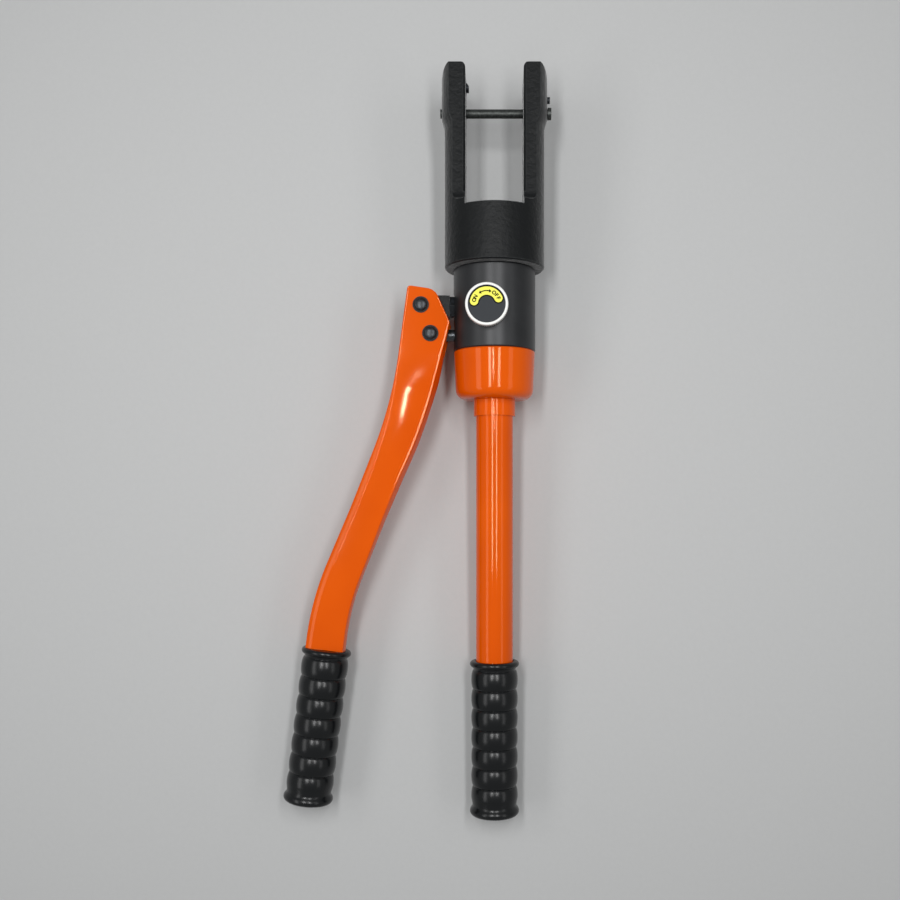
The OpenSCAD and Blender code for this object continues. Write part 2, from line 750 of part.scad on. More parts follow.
module relief_spring() {
    color(spring_steel) lay() back(-knob_x, knob_z)
        coil(valve_coil_d, small_wire, relief_seat_y + ball_top, relief_screw_y - play, 3);
}
module relief_screw() {
    key_w = relief_d / 2;
    key_depth = relief_d / 2;
    face_y = body_r - 1.2;
    color(steel) lay() back(-knob_x, knob_z) difference() {
        rod(relief_d, relief_screw_y, face_y);
        translate([0, 0, face_y - key_depth]) cylinder(d = key_w / cos(30), h = key_depth + over, $fn = 6);
    }
}

module release_knob() {
    color("#40454D") lay() front(-knob_x, knob_z) difference() {
        rod(knob_d - 2 * knob_rim - 2 * seat, knob_back_y, knob_face_y);
        rod(stem_d + 2 * seat, knob_back_y - over, knob_back_y + hub_depth);
    }
}
module knob_ring() {
    color("white") lay() front(-knob_x, knob_z)
        ring(knob_d, knob_d - 2 * knob_rim, knob_back_y, knob_face_y + knob_lip);
}
module knob_label() {
    color("#F5F03C") lay() front(-knob_x, knob_z) translate([0, 0, knob_face_y])
        rotate(label_turn - label_angle / 2)
            rotate_extrude(angle = label_angle)
                translate([label_r_out - label_w, 0]) square([label_w, label_t]);
}
module release_stem() {
    tip_y = stem_seat_y + gap;
    tip_d = passage_d / 3;
    color(steel) lay() front(-knob_x, knob_z) {
        rod(stem_d, tip_y + stem_d / 2, knob_back_y + hub_depth - play);
        translate([0, 0, tip_y]) cylinder(d1 = tip_d, d2 = stem_d, h = stem_d / 2);
    }
}
module stem_seal() {
    color(nitrile) lay() front(-knob_x, knob_z)
        ring(stem_gland_d, stem_d + 2 * running, stem_seal_y, stem_seal_y + stem_seal_h);
}
module stem_gland() {
    color(steel) lay() front(-knob_x, knob_z)
        ring(stem_gland_d, stem_d + 2 * running, stem_seal_y + stem_seal_h, body_r - spot_depth);
}

module lower_cup() {
    r = cup_d / 2;
    bore_r = spigot_d / 2 + seat;
    lip = 0.8;
    low_r = r - cup_taper;
    corner = [for (a = [-90:15:0]) [low_r - cup_r + cup_r * cos(a), cup_bottom_z + cup_r + cup_r * sin(a)]];
    color(paint) lay() rotate_extrude() polygon(concat(
        [[tube_d / 2 + seat, cup_bottom_z]], corner, [[r, cup_z - lip], [r - lip, cup_z], [bore_r, cup_z]],
        [[bore_r, cup_bottom_z + cup_floor_t], [tube_d / 2 + seat, cup_bottom_z + cup_floor_t]]
    ));
}
module cup_seal() {
    color(nitrile) lay() ring(spigot_d, cup_seal_in_d, cup_seal_z, cup_seal_z + cup_seal_h);
}
module tube_ferrule() { color(paint) lay() ring(ferrule_d, tube_d + 2 * seat, ferrule_z, cup_bottom_z); }

plug_flange_t = 3.6;
tube_z = end_z + grip_floor_t + plug_flange_t + play;
module handle_tube() { color(paint) lay() ring(tube_d, tube_bore_d, tube_z, cup_bottom_z + cup_floor_t); }
plug_len = 12;
plug_seal_h = 2;
plug_seal_z = tube_z + plug_len / 2;
plug_seal_in_d = tube_bore_d - 2 * plug_seal_h;
module tube_end_plug() {
    r = tube_bore_d / 2 - seat;
    flange_r = tube_d / 2 - seat;
    groove_r = plug_seal_in_d / 2 - seat;
    color(steel) lay() rotate_extrude() polygon([
        [0, tube_z - plug_flange_t], [flange_r, tube_z - plug_flange_t], [flange_r, tube_z - seat],
        [r, tube_z - seat], [r, plug_seal_z - seat], [groove_r, plug_seal_z - seat],
        [groove_r, plug_seal_z + plug_seal_h + seat], [r, plug_seal_z + plug_seal_h + seat],
        [r, tube_z + plug_len], [0, tube_z + plug_len]
    ]);
}
module plug_seal() {
    color(nitrile) lay()
        ring(tube_bore_d - 2 * seat, plug_seal_in_d, plug_seal_z, plug_seal_z + plug_seal_h);
}

// Rubber bag that holds the oil, closed below and clamped on the nipple
bladder_neck_d = nipple_d + 2 * bladder_wall;
bladder_z = tube_z + plug_len + 2 * gap;
neck_z = nipple_z + 2;
module oil_bladder() {
    r = tube_bore_d / 2 - 2 * gap;
    in_r = r - bladder_wall;
    neck_r = nipple_d / 2 + seat;
    slope = 6;
    corner = 3;
    color(nitrile) lay() rotate_extrude() polygon([
        [0, bladder_z], [r - corner, bladder_z], [r, bladder_z + corner], [r, neck_z - slope],
        [bladder_neck_d / 2, neck_z], [bladder_neck_d / 2, spigot_z - gap], [neck_r, spigot_z - gap],
        [neck_r, nipple_z - gap], [in_r, nipple_z - slope],
        [in_r, bladder_z + bladder_wall + corner], [0, bladder_z + bladder_wall]
    ]);
}
module bladder_clamp() {
    clamp_h = 4;
    clamp_t = 1.2;
    from = (neck_z + spigot_z - clamp_h) / 2;
    color(steel) lay()
        ring(bladder_neck_d + 2 * clamp_t, bladder_neck_d + 2 * seat, from, from + clamp_h);
}
module suction_filter() {
    filter_top = nipple_z + 3;
    hole_d = 1.2;
    color(bronze) lay() difference() {
        rod(valve_ring_d, nipple_z, filter_top);
        for (a = [0:60:300])
            rotate(a) translate([valve_ring_d / 4, 0, 0]) rod(hole_d, nipple_z - over, filter_top + over);
    }
}

// Ribbed rubber grip, closed at its lower end, which is at the origin
module grip(bore_d) {
    rim_r = rim_d / 2;
    valley_r = groove_d / 2;
    bore_r = bore_d / 2 + seat;
    edge = 1.2;
    end_r = 3;
    rib_h = grip_d / 2 - valley_r;
    pitch = (grip_len - end_rim_len - mouth_rim_len) / ribs;
    end_arc = [for (a = [-90:15:0]) [rim_r - end_r + end_r * cos(a), end_r + end_r * sin(a)]];
    bulges = [
        for (i = [0:ribs - 1], k = [1:8])
            [valley_r + rib_h * pow(sin(180 * k / 8), 0.7), end_rim_len + (i + k / 8) * pitch]
    ];
    end_rim = concat([[0, 0]], end_arc, [[rim_r, end_rim_len - edge], [valley_r, end_rim_len]]);
    mouth = [
        [rim_r, grip_len - mouth_rim_len + edge], [rim_r, grip_len - edge], [rim_r - edge, grip_len],
        [bore_r, grip_len], [bore_r, grip_floor_t], [0, grip_floor_t]
    ];
    rotate_extrude() polygon(concat(end_rim, bulges, mouth));
}
module handle_grip() { color(rubber) lay() translate([0, 0, end_z]) grip(tube_d); }

// Moves to the lower end of the bar, with -Z along the grip
module at_bar_end() { lever_frame() translate(bar_end) rotate([0, grip_tilt - fork_tilt, 0]) children(); }
module lever_grip() { color(rubber) lay() at_bar_end() translate([0, 0, -grip_len - seat]) grip(tang_d); }

// Outlines of the fork in the lever's frame: the shoulder slopes down to the right of the fulcrum
cheek_low = pin_drop + 9.5;
cheek_top = fork_top - 1.2;
shoulder_in = 15.2;
shoulder_w = 4.5;
shoulder_h = 3.2;
pocket_room = 3.5;
shoulder = [
    [cheek_reach - shoulder_in, cheek_top],
    [cheek_reach - shoulder_in + shoulder_w, cheek_top - shoulder_h],
    [cheek_reach - 2, -pin_drop / 3]
];
module cheek_outline() {
    polygon(concat(
        [[0, cheek_top]],
        shoulder,
        [[cheek_reach, -pin_drop / 2], [cheek_reach - 1.3, -pin_drop]],
        [[cheek_reach - 4.2, -cheek_low], [0, -cheek_low]]
    ));
}
module trim_outline() {
    high = fork_top + over;
    far = fork_side + fork_w;
    polygon(concat([[shoulder[0][0], high]], shoulder, [[far, -pin_drop / 3], [far, high]]));
}
module pocket_outline() {
    web_x = -nose_r - 2 * gap;
    low = cheek_low + pocket_room;
    translate([web_x, -low]) square([fork_side + fork_w - web_x, low + fork_top + over]);
}
module plate(t) { rotate([90, 0, 0]) linear_extrude(t, center = true) children(); }
module pin_hole(x, z) { front(x, z) rod(pin_d + 2 * seat, -cheek_t, cheek_t); }

module pump_lever() {
    color(paint) lay() {
        lever_frame() difference() {
            union() {
                difference() {
                    skin(bar_rings);
                    plate(2 * cheek_t) trim_outline();
                }
                plate(cheek_t) cheek_outline();
                translate(bar_end) rotate([0, grip_tilt - fork_tilt, 0])
                    rod(tang_d, grip_floor_t + gap - grip_len, over);
            }
            plate(fork_gap) pocket_outline();
            pin_hole(0, 0);
            pin_hole(pin_side, -pin_drop);
        }
    }
}

// A lever pin with a domed head at the front and a groove for its clip at the back
module lever_pin() {
    head_h = 2.2;
    face = cheek_t / 2 + washer_t;
    r = pin_d / 2;
    groove_r = r - clip_depth;
    dome = [for (a = [0:15:90]) [pin_head_d / 2 * cos(a), face + head_h / 2 + head_h / 2 * sin(a)]];
    rotate_extrude() polygon(concat(
        [[0, pin_end], [r, pin_end], [r, clip_groove], [groove_r, clip_groove]],
        [[groove_r, clip_groove + clip_t], [r, clip_groove + clip_t], [r, face], [pin_head_d / 2, face]],
        dome
    ));
}
module at_pins() {
    lever_frame() rotate([90, 0, 0]) {
        children();
        translate([pin_side, -pin_drop, 0]) children();
    }
}
module fulcrum_pin() { color(dark_grey) lay() lever_frame() rotate([90, 0, 0]) lever_pin(); }
module plunger_pin() {
    color(dark_grey) lay() lever_frame() rotate([90, 0, 0]) translate([pin_side, -pin_drop, 0]) lever_pin();
}
module pin_washers() {
    color(satin_black) lay() at_pins()
        ring(washer_d, pin_d + 2 * seat, cheek_t / 2, cheek_t / 2 + washer_t);
}
module pin_clips() {
    in_d = pin_d - 2 * clip_depth + 2 * seat;
    color(spring_steel) lay() at_pins()
        ring(pin_d + 4 * clip_depth, in_d, clip_groove + seat, clip_groove + clip_t - seat);
}

yoke_head();
ram_guide_bush();
ram_wiper();
cross_pin();
die_catch();
catch_sleeve();
catch_spring();
detent_pin();
detent_sleeve();
detent_spring();
ram();
piston_seal();
piston_guide_ring();
ram_return_spring();
cylinder_stop_ring();
head_retaining_ring();
valve_body();
fulcrum_bracket();
bracket_locknut();
fulcrum_bush();
pump_gland();
plunger_seal();
pump_plunger();
inlet_seat();
inlet_ball();
inlet_spring();
outlet_ball();
outlet_spring();
outlet_plug();
relief_ball();
relief_spring();
relief_screw();
release_knob();
knob_ring();
knob_label();
release_stem();
stem_seal();
stem_gland();
lower_cup();
cup_seal();
tube_ferrule();
handle_tube();
handle_grip();
oil_bladder();
bladder_clamp();
suction_filter();
tube_end_plug();
plug_seal();
pump_lever();
lever_grip();
fulcrum_pin();
plunger_pin();
pin_washers();
pin_clips();
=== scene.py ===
# %% [markdown]
# # A hydraulic crimping tool, dressed for its portrait
# The tool lies on its back on a pale table and is seen from straight above. Its hard parts come from
# the CAD model and keep their places. This lesson gives them paint, steel and rubber, and rebuilds the
# pieces whose form the CAD solids only suggest: the grips, the ram's wiper, the cast lever, the dial and
# the springs.

# %% Load the tool
import json
import math

import bmesh
import bpy
from mathutils import Matrix, Vector

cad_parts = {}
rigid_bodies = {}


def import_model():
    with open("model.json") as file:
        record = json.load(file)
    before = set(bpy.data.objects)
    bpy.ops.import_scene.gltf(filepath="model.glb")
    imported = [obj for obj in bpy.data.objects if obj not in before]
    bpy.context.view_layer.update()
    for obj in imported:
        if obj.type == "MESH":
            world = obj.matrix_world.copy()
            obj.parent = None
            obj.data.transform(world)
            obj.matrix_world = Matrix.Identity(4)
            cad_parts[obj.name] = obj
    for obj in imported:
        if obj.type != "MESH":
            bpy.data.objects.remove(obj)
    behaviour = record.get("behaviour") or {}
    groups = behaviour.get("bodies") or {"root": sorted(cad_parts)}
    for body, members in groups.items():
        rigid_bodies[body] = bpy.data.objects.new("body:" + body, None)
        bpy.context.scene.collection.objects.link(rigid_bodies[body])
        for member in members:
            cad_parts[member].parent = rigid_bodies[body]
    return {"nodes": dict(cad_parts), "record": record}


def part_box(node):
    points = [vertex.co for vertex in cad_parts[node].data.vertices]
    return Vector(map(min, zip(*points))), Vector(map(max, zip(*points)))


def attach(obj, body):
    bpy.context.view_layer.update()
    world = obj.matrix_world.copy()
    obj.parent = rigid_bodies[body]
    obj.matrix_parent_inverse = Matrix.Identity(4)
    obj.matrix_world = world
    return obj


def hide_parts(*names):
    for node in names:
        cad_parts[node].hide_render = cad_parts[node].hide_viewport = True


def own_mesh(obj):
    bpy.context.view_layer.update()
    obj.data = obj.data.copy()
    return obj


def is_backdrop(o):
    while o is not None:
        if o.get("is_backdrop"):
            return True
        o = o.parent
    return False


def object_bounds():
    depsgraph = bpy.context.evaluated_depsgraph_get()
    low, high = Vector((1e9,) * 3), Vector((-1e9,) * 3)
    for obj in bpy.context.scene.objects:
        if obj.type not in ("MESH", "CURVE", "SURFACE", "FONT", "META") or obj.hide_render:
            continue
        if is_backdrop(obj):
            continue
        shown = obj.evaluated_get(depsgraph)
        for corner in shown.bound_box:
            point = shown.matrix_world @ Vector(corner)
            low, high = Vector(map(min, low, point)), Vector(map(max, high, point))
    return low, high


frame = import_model()
cad_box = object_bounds()
nodes = frame["nodes"]
MM = 0.001
print("pieces in the tool:", len(nodes))

# %% [markdown]
# ## Colours and nodes
# Paint charts and photographs give colours in sRGB, while the shader works in linear light, so one
# function converts them. A second small function adds a node, sets it up and links it, which keeps each
# material readable as a list of what it is made of.

# %% Helpers for materials
def linear(hex_colour):
    """A colour such as #E25700 in linear light, with full opacity."""
    parts = [int(hex_colour[i:i + 2], 16) / 255 for i in (1, 3, 5)]
    return tuple(c / 12.92 if c <= 0.04045 else ((c + 0.055) / 1.055) ** 2.4 for c in parts) + (1.0,)


def add(material, kind, inputs=None, **settings):
    """Adds a node. An input is given a value, or the socket that feeds it."""
    tree = material.node_tree
    node = tree.nodes.new("ShaderNode" + kind)
    for name, value in settings.items():
        setattr(node, name, value)
    for name, value in (inputs or {}).items():
        if isinstance(value, bpy.types.NodeSocket):
            tree.links.new(value, node.inputs[name])
        else:
            node.inputs[name].default_value = value
    return node


def link(material, output, target):
    """Feeds an input of a node that is there already."""
    material.node_tree.links.new(output, target)


def per(millimetres):
    """The texture scale at which one feature of a pattern is that long."""
    return 1 / (millimetres * MM)


print("linear mid grey:", [round(c, 3) for c in linear("#808080")])

# %% [markdown]
# ## A common start for every surface
# Each material begins as a named Principled shader with its plain numbers on the shader's own sockets.
# Real edges are never perfectly sharp: paint and polishing round them, and the thin round catches the
# light. A Bevel node gives that line of light without touching the CAD solids, and a Bump node on top of
# it carries the fine relief of the surface.

# %% Start a material
def start(name, colour, roughness, metallic=0.0, **sockets):
    """A new material and its shader. Further sockets are named with _ for each space."""
    material = bpy.data.materials.new(name)
    material.use_nodes = True
    shader = material.node_tree.nodes["Principled BSDF"]
    shader.inputs["Base Color"].default_value = linear(colour)
    shader.inputs["Roughness"].default_value = roughness
    shader.inputs["Metallic"].default_value = metallic
    for socket, value in sockets.items():
        shader.inputs[socket.replace("_", " ")].default_value = value
    return material, shader


def relief(material, shader, height, depth_mm, edge_mm, strength):
    """Rounds the edges for the light and adds the relief of the surface."""
    edge = add(material, "Bevel", {"Radius": edge_mm * MM}, samples=6)
    bump = add(material, "Bump", {"Height": height, "Distance": depth_mm * MM, "Strength": strength,
                                  "Normal": edge.outputs["Normal"]})
    link(material, bump.outputs["Normal"], shader.inputs["Normal"])
    return edge


print("a surface starts plain and is then given its relief")

# %% [markdown]
# ## Orange enamel, sprayed and baked
# The handle, cup and lever wear a glossy enamel. Sprayed enamel sets with a faint ripple known as orange
# peel, a millimetre or two across, which makes long reflections waver. The pigment is even, but it
# gathers slightly, so the tone drifts by a few per cent over a hand's width. The clear resin is a little
# yellow, which warms the highlights.

# %% Orange enamel
enamel, shader = start("orange baked enamel", "#E25700", 0.07, IOR=1.47, Specular_IOR_Level=0.36,
                       Specular_Tint=linear("#FFDDB8"))
place = add(enamel, "TexCoord").outputs["Object"]
drift = add(enamel, "TexNoise", {"Vector": place, "Scale": per(60), "Detail": 2.0})
tone = add(enamel, "ValToRGB", {"Fac": drift.outputs["Fac"]})
for stop, position, colour in zip(tone.color_ramp.elements, (0.3, 0.7), ("#DC5200", "#E85C02")):
    stop.position, stop.color = position, linear(colour)
link(enamel, tone.outputs["Color"], shader.inputs["Base Color"])
gloss = add(enamel, "MapRange", {"Value": drift.outputs["Fac"], "To Min": 0.055, "To Max": 0.09})
link(enamel, gloss.outputs["Result"], shader.inputs["Roughness"])
peel = add(enamel, "TexNoise", {"Vector": place, "Scale": per(1.8), "Detail": 1.0})
relief(enamel, shader, peel.outputs["Fac"], depth_mm=0.012, edge_mm=0.5, strength=0.4)
print("made", enamel.name)

# %% [markdown]
# ## Black enamel on forged steel
# The head is forged, blasted and sprayed satin black. The blasted skin shows through the thin paint as
# soft pits a few millimetres across, with a finer tooth on top. Seen at a slant that tooth scatters light,
# so the sides look greyer than the flats, which the shader's sheen gives. Paint wears first on the edges,
# where the steel's grey begins to show. The edge is found by comparing the rounded normal with the true
# one.

# %% Black enamel
black, shader = start("satin black enamel on forged steel", "#101213", 0.42, IOR=1.45,
                      Specular_IOR_Level=0.2, Sheen_Weight=0.4, Sheen_Roughness=0.3)
place = add(black, "TexCoord").outputs["Object"]
pits = add(black, "TexNoise", {"Vector": place, "Scale": per(4), "Detail": 5.0, "Roughness": 0.62})
edge = relief(black, shader, pits.outputs["Fac"], depth_mm=0.7, edge_mm=0.7, strength=0.7)
true_normal = add(black, "NewGeometry").outputs["Normal"]
flatness = add(black, "VectorMath", {0: edge.outputs["Normal"], 1: true_normal}, operation="DOT_PRODUCT")
worn = add(black, "MapRange", {"Value": flatness.outputs["Value"], "From Min": 0.99, "From Max": 0.86})
patchy = add(black, "Math", {0: worn.outputs["Result"], 1: pits.outputs["Fac"]}, operation="MULTIPLY")
wear = add(black, "ValToRGB", {"Fac": patchy.outputs["Value"]})
for stop, colour in zip(wear.color_ramp.elements, ("#101213", "#6A6D6E")):
    stop.color = linear(colour)
link(black, wear.outputs["Color"], shader.inputs["Base Color"])
satin = add(black, "MapRange", {"Value": pits.outputs["Fac"], "To Min": 0.34, "To Max": 0.5})
link(black, satin.outputs["Result"], shader.inputs["Roughness"])
print("made", black.name)

# %% [markdown]
# ## Black-oxide steel, turned
# The valve body is turned on a lathe and blackened in a hot salt bath. The oxide is a dark grey skin that
# keeps the metal's sheen. Tool marks about 0.1 mm apart are too fine to show here. What shows is the slow
# waver round the axis that a long cut leaves, nearly 4 mm from crest to crest, and the stains of the bath.

# %% Black oxide
WAVE_LENGTH = math.tau / 20  # how far a wave texture of scale 1 runs before it repeats
oxide, shader = start("turned black-oxide steel", "#292A2C", 0.38, 0.3)
place = add(oxide, "TexCoord").outputs["Object"]
marks = add(oxide, "TexWave", {"Vector": place, "Scale": per(3.77) * WAVE_LENGTH, "Distortion": 0.4,
                               "Detail": 2.0}, wave_type="BANDS", bands_direction="Y")
relief(oxide, shader, marks.outputs["Fac"], depth_mm=0.01, edge_mm=0.4, strength=0.5)
stain = add(oxide, "TexNoise", {"Vector": place, "Scale": per(18), "Detail": 4.0})
skin = add(oxide, "ValToRGB", {"Fac": stain.outputs["Fac"]})
for stop, position, colour in zip(skin.color_ramp.elements, (0.3, 0.75), ("#202123", "#2A2B2D")):
    stop.position, stop.color = position, linear(colour)
link(oxide, skin.outputs["Color"], shader.inputs["Base Color"])
print("made", oxide.name)

# %% [markdown]
# ## Bare metals
# The ram is ground and hard-chromed. The plunger is ground too, with its steel darkened as painted shade,
# and the cross rod is plain round steel. Pins are blackened and tumbled, springs are drawn wire, and bushes
# are cast bronze.
# They share one recipe: a metal colour, a mottle and a fine relief.

# %% Metals
def metal(name, dark, bright, roughness, mottle_mm, metallic=1.0):
    """A metal whose tone drifts between two colours over patches of the given size."""
    material, surface = start(name, bright, roughness, metallic)
    where = add(material, "TexCoord").outputs["Object"]
    mottle = add(material, "TexNoise", {"Vector": where, "Scale": per(mottle_mm), "Detail": 4.0})
    shade = add(material, "ValToRGB", {"Fac": mottle.outputs["Fac"]})
    for stop, position, colour in zip(shade.color_ramp.elements, (0.35, 0.65), (dark, bright)):
        stop.position, stop.color = position, linear(colour)
    link(material, shade.outputs["Color"], surface.inputs["Base Color"])
    relief(material, surface, mottle.outputs["Fac"], depth_mm=0.01, edge_mm=0.3, strength=0.4)
    return material


chromed = metal("ground and chromed steel", "#B9BCBE", "#D4D6D7", 0.18, 1.5)  # a cool, bright mirror
blackened = metal("tumbled black-oxide steel", "#1E2022", "#34383D", 0.3, 2.0, 0.6)  # a soft dark gleam
rod_steel = metal("oiled round steel", "#2E302F", "#464947", 0.4, 1.2, 0.7)  # a dull dark grey
# The plunger's colour is darkened as painted shade. It stands for the dark surroundings it mirrors in the
# gap beside the valve body.
ground = metal("ground steel darkened as painted shade", "#3A3C3D", "#54575A", 0.22, 1.5)  # a dark mirror
wire = metal("drawn spring steel", "#85888B", "#A5A8AA", 0.3, 0.8)  # a silky grey
bronze = metal("cast bearing bronze", "#94692F", "#B98A48", 0.34, 2.5)  # a warm, mottled glow
print("metals:", [m.name for m in (chromed, blackened, rod_steel, ground, wire, bronze)])

# %% [markdown]
# ## Rubber and plastics
# The grips are moulded in black rubber with a slight shine, and a fine grain from the mould breaks up its
# highlights. The dial is moulded in slate-grey ABS with a white rim, and its arc is a printed yellow film.
# Seals are nitrile rubber, of which only the wiper's lip can be seen. Their shared recipe is a plain colour
# and a grain that changes both the relief and the shine.

# %% Rubber and plastics
SHINE_DRIFT = 0.07


def moulded(name, colour, roughness, grain_mm, depth_mm, edge_mm=0.3, **sockets):
    """A plain coloured surface with the grain of a mould or of a print."""
    material, surface = start(name, colour, roughness, **sockets)
    where = add(material, "TexCoord").outputs["Object"]
    grain = add(material, "TexNoise", {"Vector": where, "Scale": per(grain_mm), "Detail": 3.0})
    relief(material, surface, grain.outputs["Fac"], depth_mm, edge_mm, strength=0.6)
    dull = add(material, "MapRange", {"Value": grain.outputs["Fac"], "To Min": roughness - SHINE_DRIFT,
                                      "To Max": roughness + SHINE_DRIFT})
    link(material, dull.outputs["Result"], surface.inputs["Roughness"])
    return material


grip_rubber = moulded("moulded grip rubber", "#0A0C0E", 0.24, 0.7, 0.03, IOR=1.52,
                      Specular_IOR_Level=0.32)  # deep black with small soft glints
nitrile = moulded("nitrile seal rubber", "#202020", 0.5, 0.8, 0.02, IOR=1.52)  # a dull charcoal
slate_abs = moulded("slate ABS", "#1B2026", 0.5, 0.6, 0.015, IOR=1.53,
                    Specular_IOR_Level=0.25)  # a quiet blue-grey
white_abs = moulded("white ABS", "#F1F1EE", 0.35, 0.6, 0.01, 0.2, IOR=1.53)  # a clean, soft white
yellow_film = moulded("printed yellow film", "#F0EB3A", 0.38, 1.2, 0.004, 0.05, IOR=1.5)  # flat lemon
ink = moulded("black printing ink", "#08090A", 0.6, 0.5, 0.003, 0.02, Specular_IOR_Level=0.1)  # matt black
print("moulded:", [m.name for m in (grip_rubber, nitrile, slate_abs, white_abs, yellow_film, ink)])

# %% [markdown]
# ## Smooth shading for the CAD solids
# CAD solids arrive as triangles whose corners are split along every face, so a rounded corner made of
# short bands shows as facets. A small geometry-nodes modifier joins the corners, shades faces smooth and
# keeps an edge hard only where two faces meet at a clear angle. The solids themselves stay as they are.

# %% A smoothing modifier
HARD_ANGLE, WELD = 32, 0.002
smoothing = bpy.data.node_groups.new("smooth by angle", "GeometryNodeTree")
for way in ("INPUT", "OUTPUT"):
    smoothing.interface.new_socket("Geometry", in_out=way, socket_type="NodeSocketGeometry")
kinds = {
    "in": "NodeGroupInput", "bare": "GeometryNodeRemoveAttribute", "join": "GeometryNodeMergeByDistance",
    "smooth": "GeometryNodeSetShadeSmooth", "hard": "GeometryNodeSetShadeSmooth",
    "angle": "GeometryNodeInputMeshEdgeAngle", "compare": "FunctionNodeCompare", "out": "NodeGroupOutput",
}
step = {name: smoothing.nodes.new(kind) for name, kind in kinds.items()}
step["bare"].inputs["Name"].default_value = "custom_normal"
step["join"].inputs["Distance"].default_value = WELD * MM
step["smooth"].domain, step["hard"].domain = "FACE", "EDGE"
step["smooth"].inputs["Shade Smooth"].default_value = True
step["hard"].inputs["Shade Smooth"].default_value = False
step["compare"].data_type, step["compare"].operation = "FLOAT", "GREATER_THAN"
step["compare"].inputs[1].default_value = math.radians(HARD_ANGLE)
for a, b in (("in", "bare"), ("bare", "join"), ("join", "smooth"), ("smooth", "hard"), ("hard", "out")):
    smoothing.links.new(step[a].outputs[0], step[b].inputs[0])
smoothing.links.new(step["angle"].outputs["Unsigned Angle"], step["compare"].inputs[0])
smoothing.links.new(step["compare"].outputs[0], step["hard"].inputs["Selection"])
print("edges stay hard above", HARD_ANGLE, "degrees")

# %% Dress the CAD solids
finishes = {
    "orange_paint": enamel, "satin_black": black, "dark_grey": oxide, "bright_steel": chromed,
    "spring_steel": wire, "bronze": bronze, "grip_rubber": grip_rubber, "seal_rubber": nitrile,
    "knob_plastic": slate_abs, "white_plastic": white_abs, "yellow_label": yellow_film,
}
own_finish = {
    "cross_pin": rod_steel, "pump_plunger": ground, "pin_washers": black, "fulcrum_pin": blackened,
    "plunger_pin": blackened, "detent_pin": blackened, "die_catch": blackened, "bracket_locknut": blackened,
}
for part in frame["record"]["subparts"]:
    solid = nodes[part["node"]]
    for material_slot in solid.material_slots:
        material_slot.material = own_finish.get(part["node"], finishes[part["material_slot"]])
    solid.modifiers.new("smooth by angle", "NODES").node_group = smoothing

# %% [markdown]
# ## New pieces from rings of points
# Every new piece rides on one body of the tool and is given one material. A grip or a knob's rim is a
# profile turned about an axis, as on a lathe. The profile is a list of radius and height. Points are placed
# round the axis, and neighbouring rings are joined with four-sided faces, which shade more evenly than
# triangles. The lever and the springs further on are rings of points too.

# %% A new piece
def new_piece(name, verts, faces, material, body):
    """A smoothed mesh in one material that moves with a body."""
    mesh = bpy.data.meshes.new(name)
    mesh.from_pydata([tuple(v) for v in verts], [], faces)
    mesh.materials.append(material)
    clean = bmesh.new()
    clean.from_mesh(mesh)
    bmesh.ops.recalc_face_normals(clean, faces=clean.faces)
    clean.to_mesh(mesh)
    clean.free()
    mesh.shade_smooth()
    piece = bpy.data.objects.new(name, mesh)
    bpy.context.scene.collection.objects.link(piece)
    piece.modifiers.new("smooth by angle", "NODES").node_group = smoothing
    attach(piece, body)
    return piece


print("new pieces are smoothed as the solids are")

# %% A lathe
def arc(x, y, r, degrees):
    """Points on a circle, one for each angle."""
    return [(x + r * math.cos(a), y + r * math.sin(a)) for a in map(math.radians, degrees)]


def joined(rings, around, capped=True):
    """Four-sided faces between neighbouring rings of points, and a cap on each end."""
    faces = []
    for i in range(rings - 1):
        for k in range(around):
            m = (k + 1) % around
            faces.append((i * around + k, i * around + m, (i + 1) * around + m, (i + 1) * around + k))
    if capped:
        faces += [[ring * around + k for k in range(around)] for ring in (0, rings - 1)]
    return faces


def turned(profile, place, around=96, ripple=None, capped=True):
    """Points and faces of a profile, in millimetres, turned about the Z axis of place. Ripple is a function
    of the profile point's number and the angle that adds to the radius."""
    verts = []
    for i, (r, h) in enumerate(profile):
        for k in range(around):
            a = math.tau * k / around
            q = r + (ripple(i, a) if ripple else 0.0)
            verts.append(place @ Vector((q * math.cos(a), q * math.sin(a), h)) * MM)
    return verts, joined(len(profile), around, capped)


print("two rings of 96 points make", len(joined(2, 96, capped=False)), "faces")

# %% [markdown]
# ## The rubber grips
# Each grip is a sleeve with a rolled bead at its mouth, seven barrel-shaped ribs with sharp grooves
# between them, and a flared foot that is closed at the end. The ribs could be a displacement, but a turned
# profile gives the deep, clean grooves that a mould gives.

# %% Grip profile
GRIP_LENGTH, RIBS, RIB_STEPS = 103.7, 7, 20
GROOVE_R, RIB_R, RIM_R = 14.2, 15.7, 16.6
FOOT, FOOT_ROUND = 6.7, 2.9
BEAD, BEAD_ROUND = 6.0, 2.1
WAIST = [(0.15, 3.8), (0.6, 4.7), (1.2, 5.5), (1.65, 6.4), (1.75, 7.4)]  # depth in the rim, and height
WAIST_SHARE = 0.4  # how much of the lowest rib the waist takes up


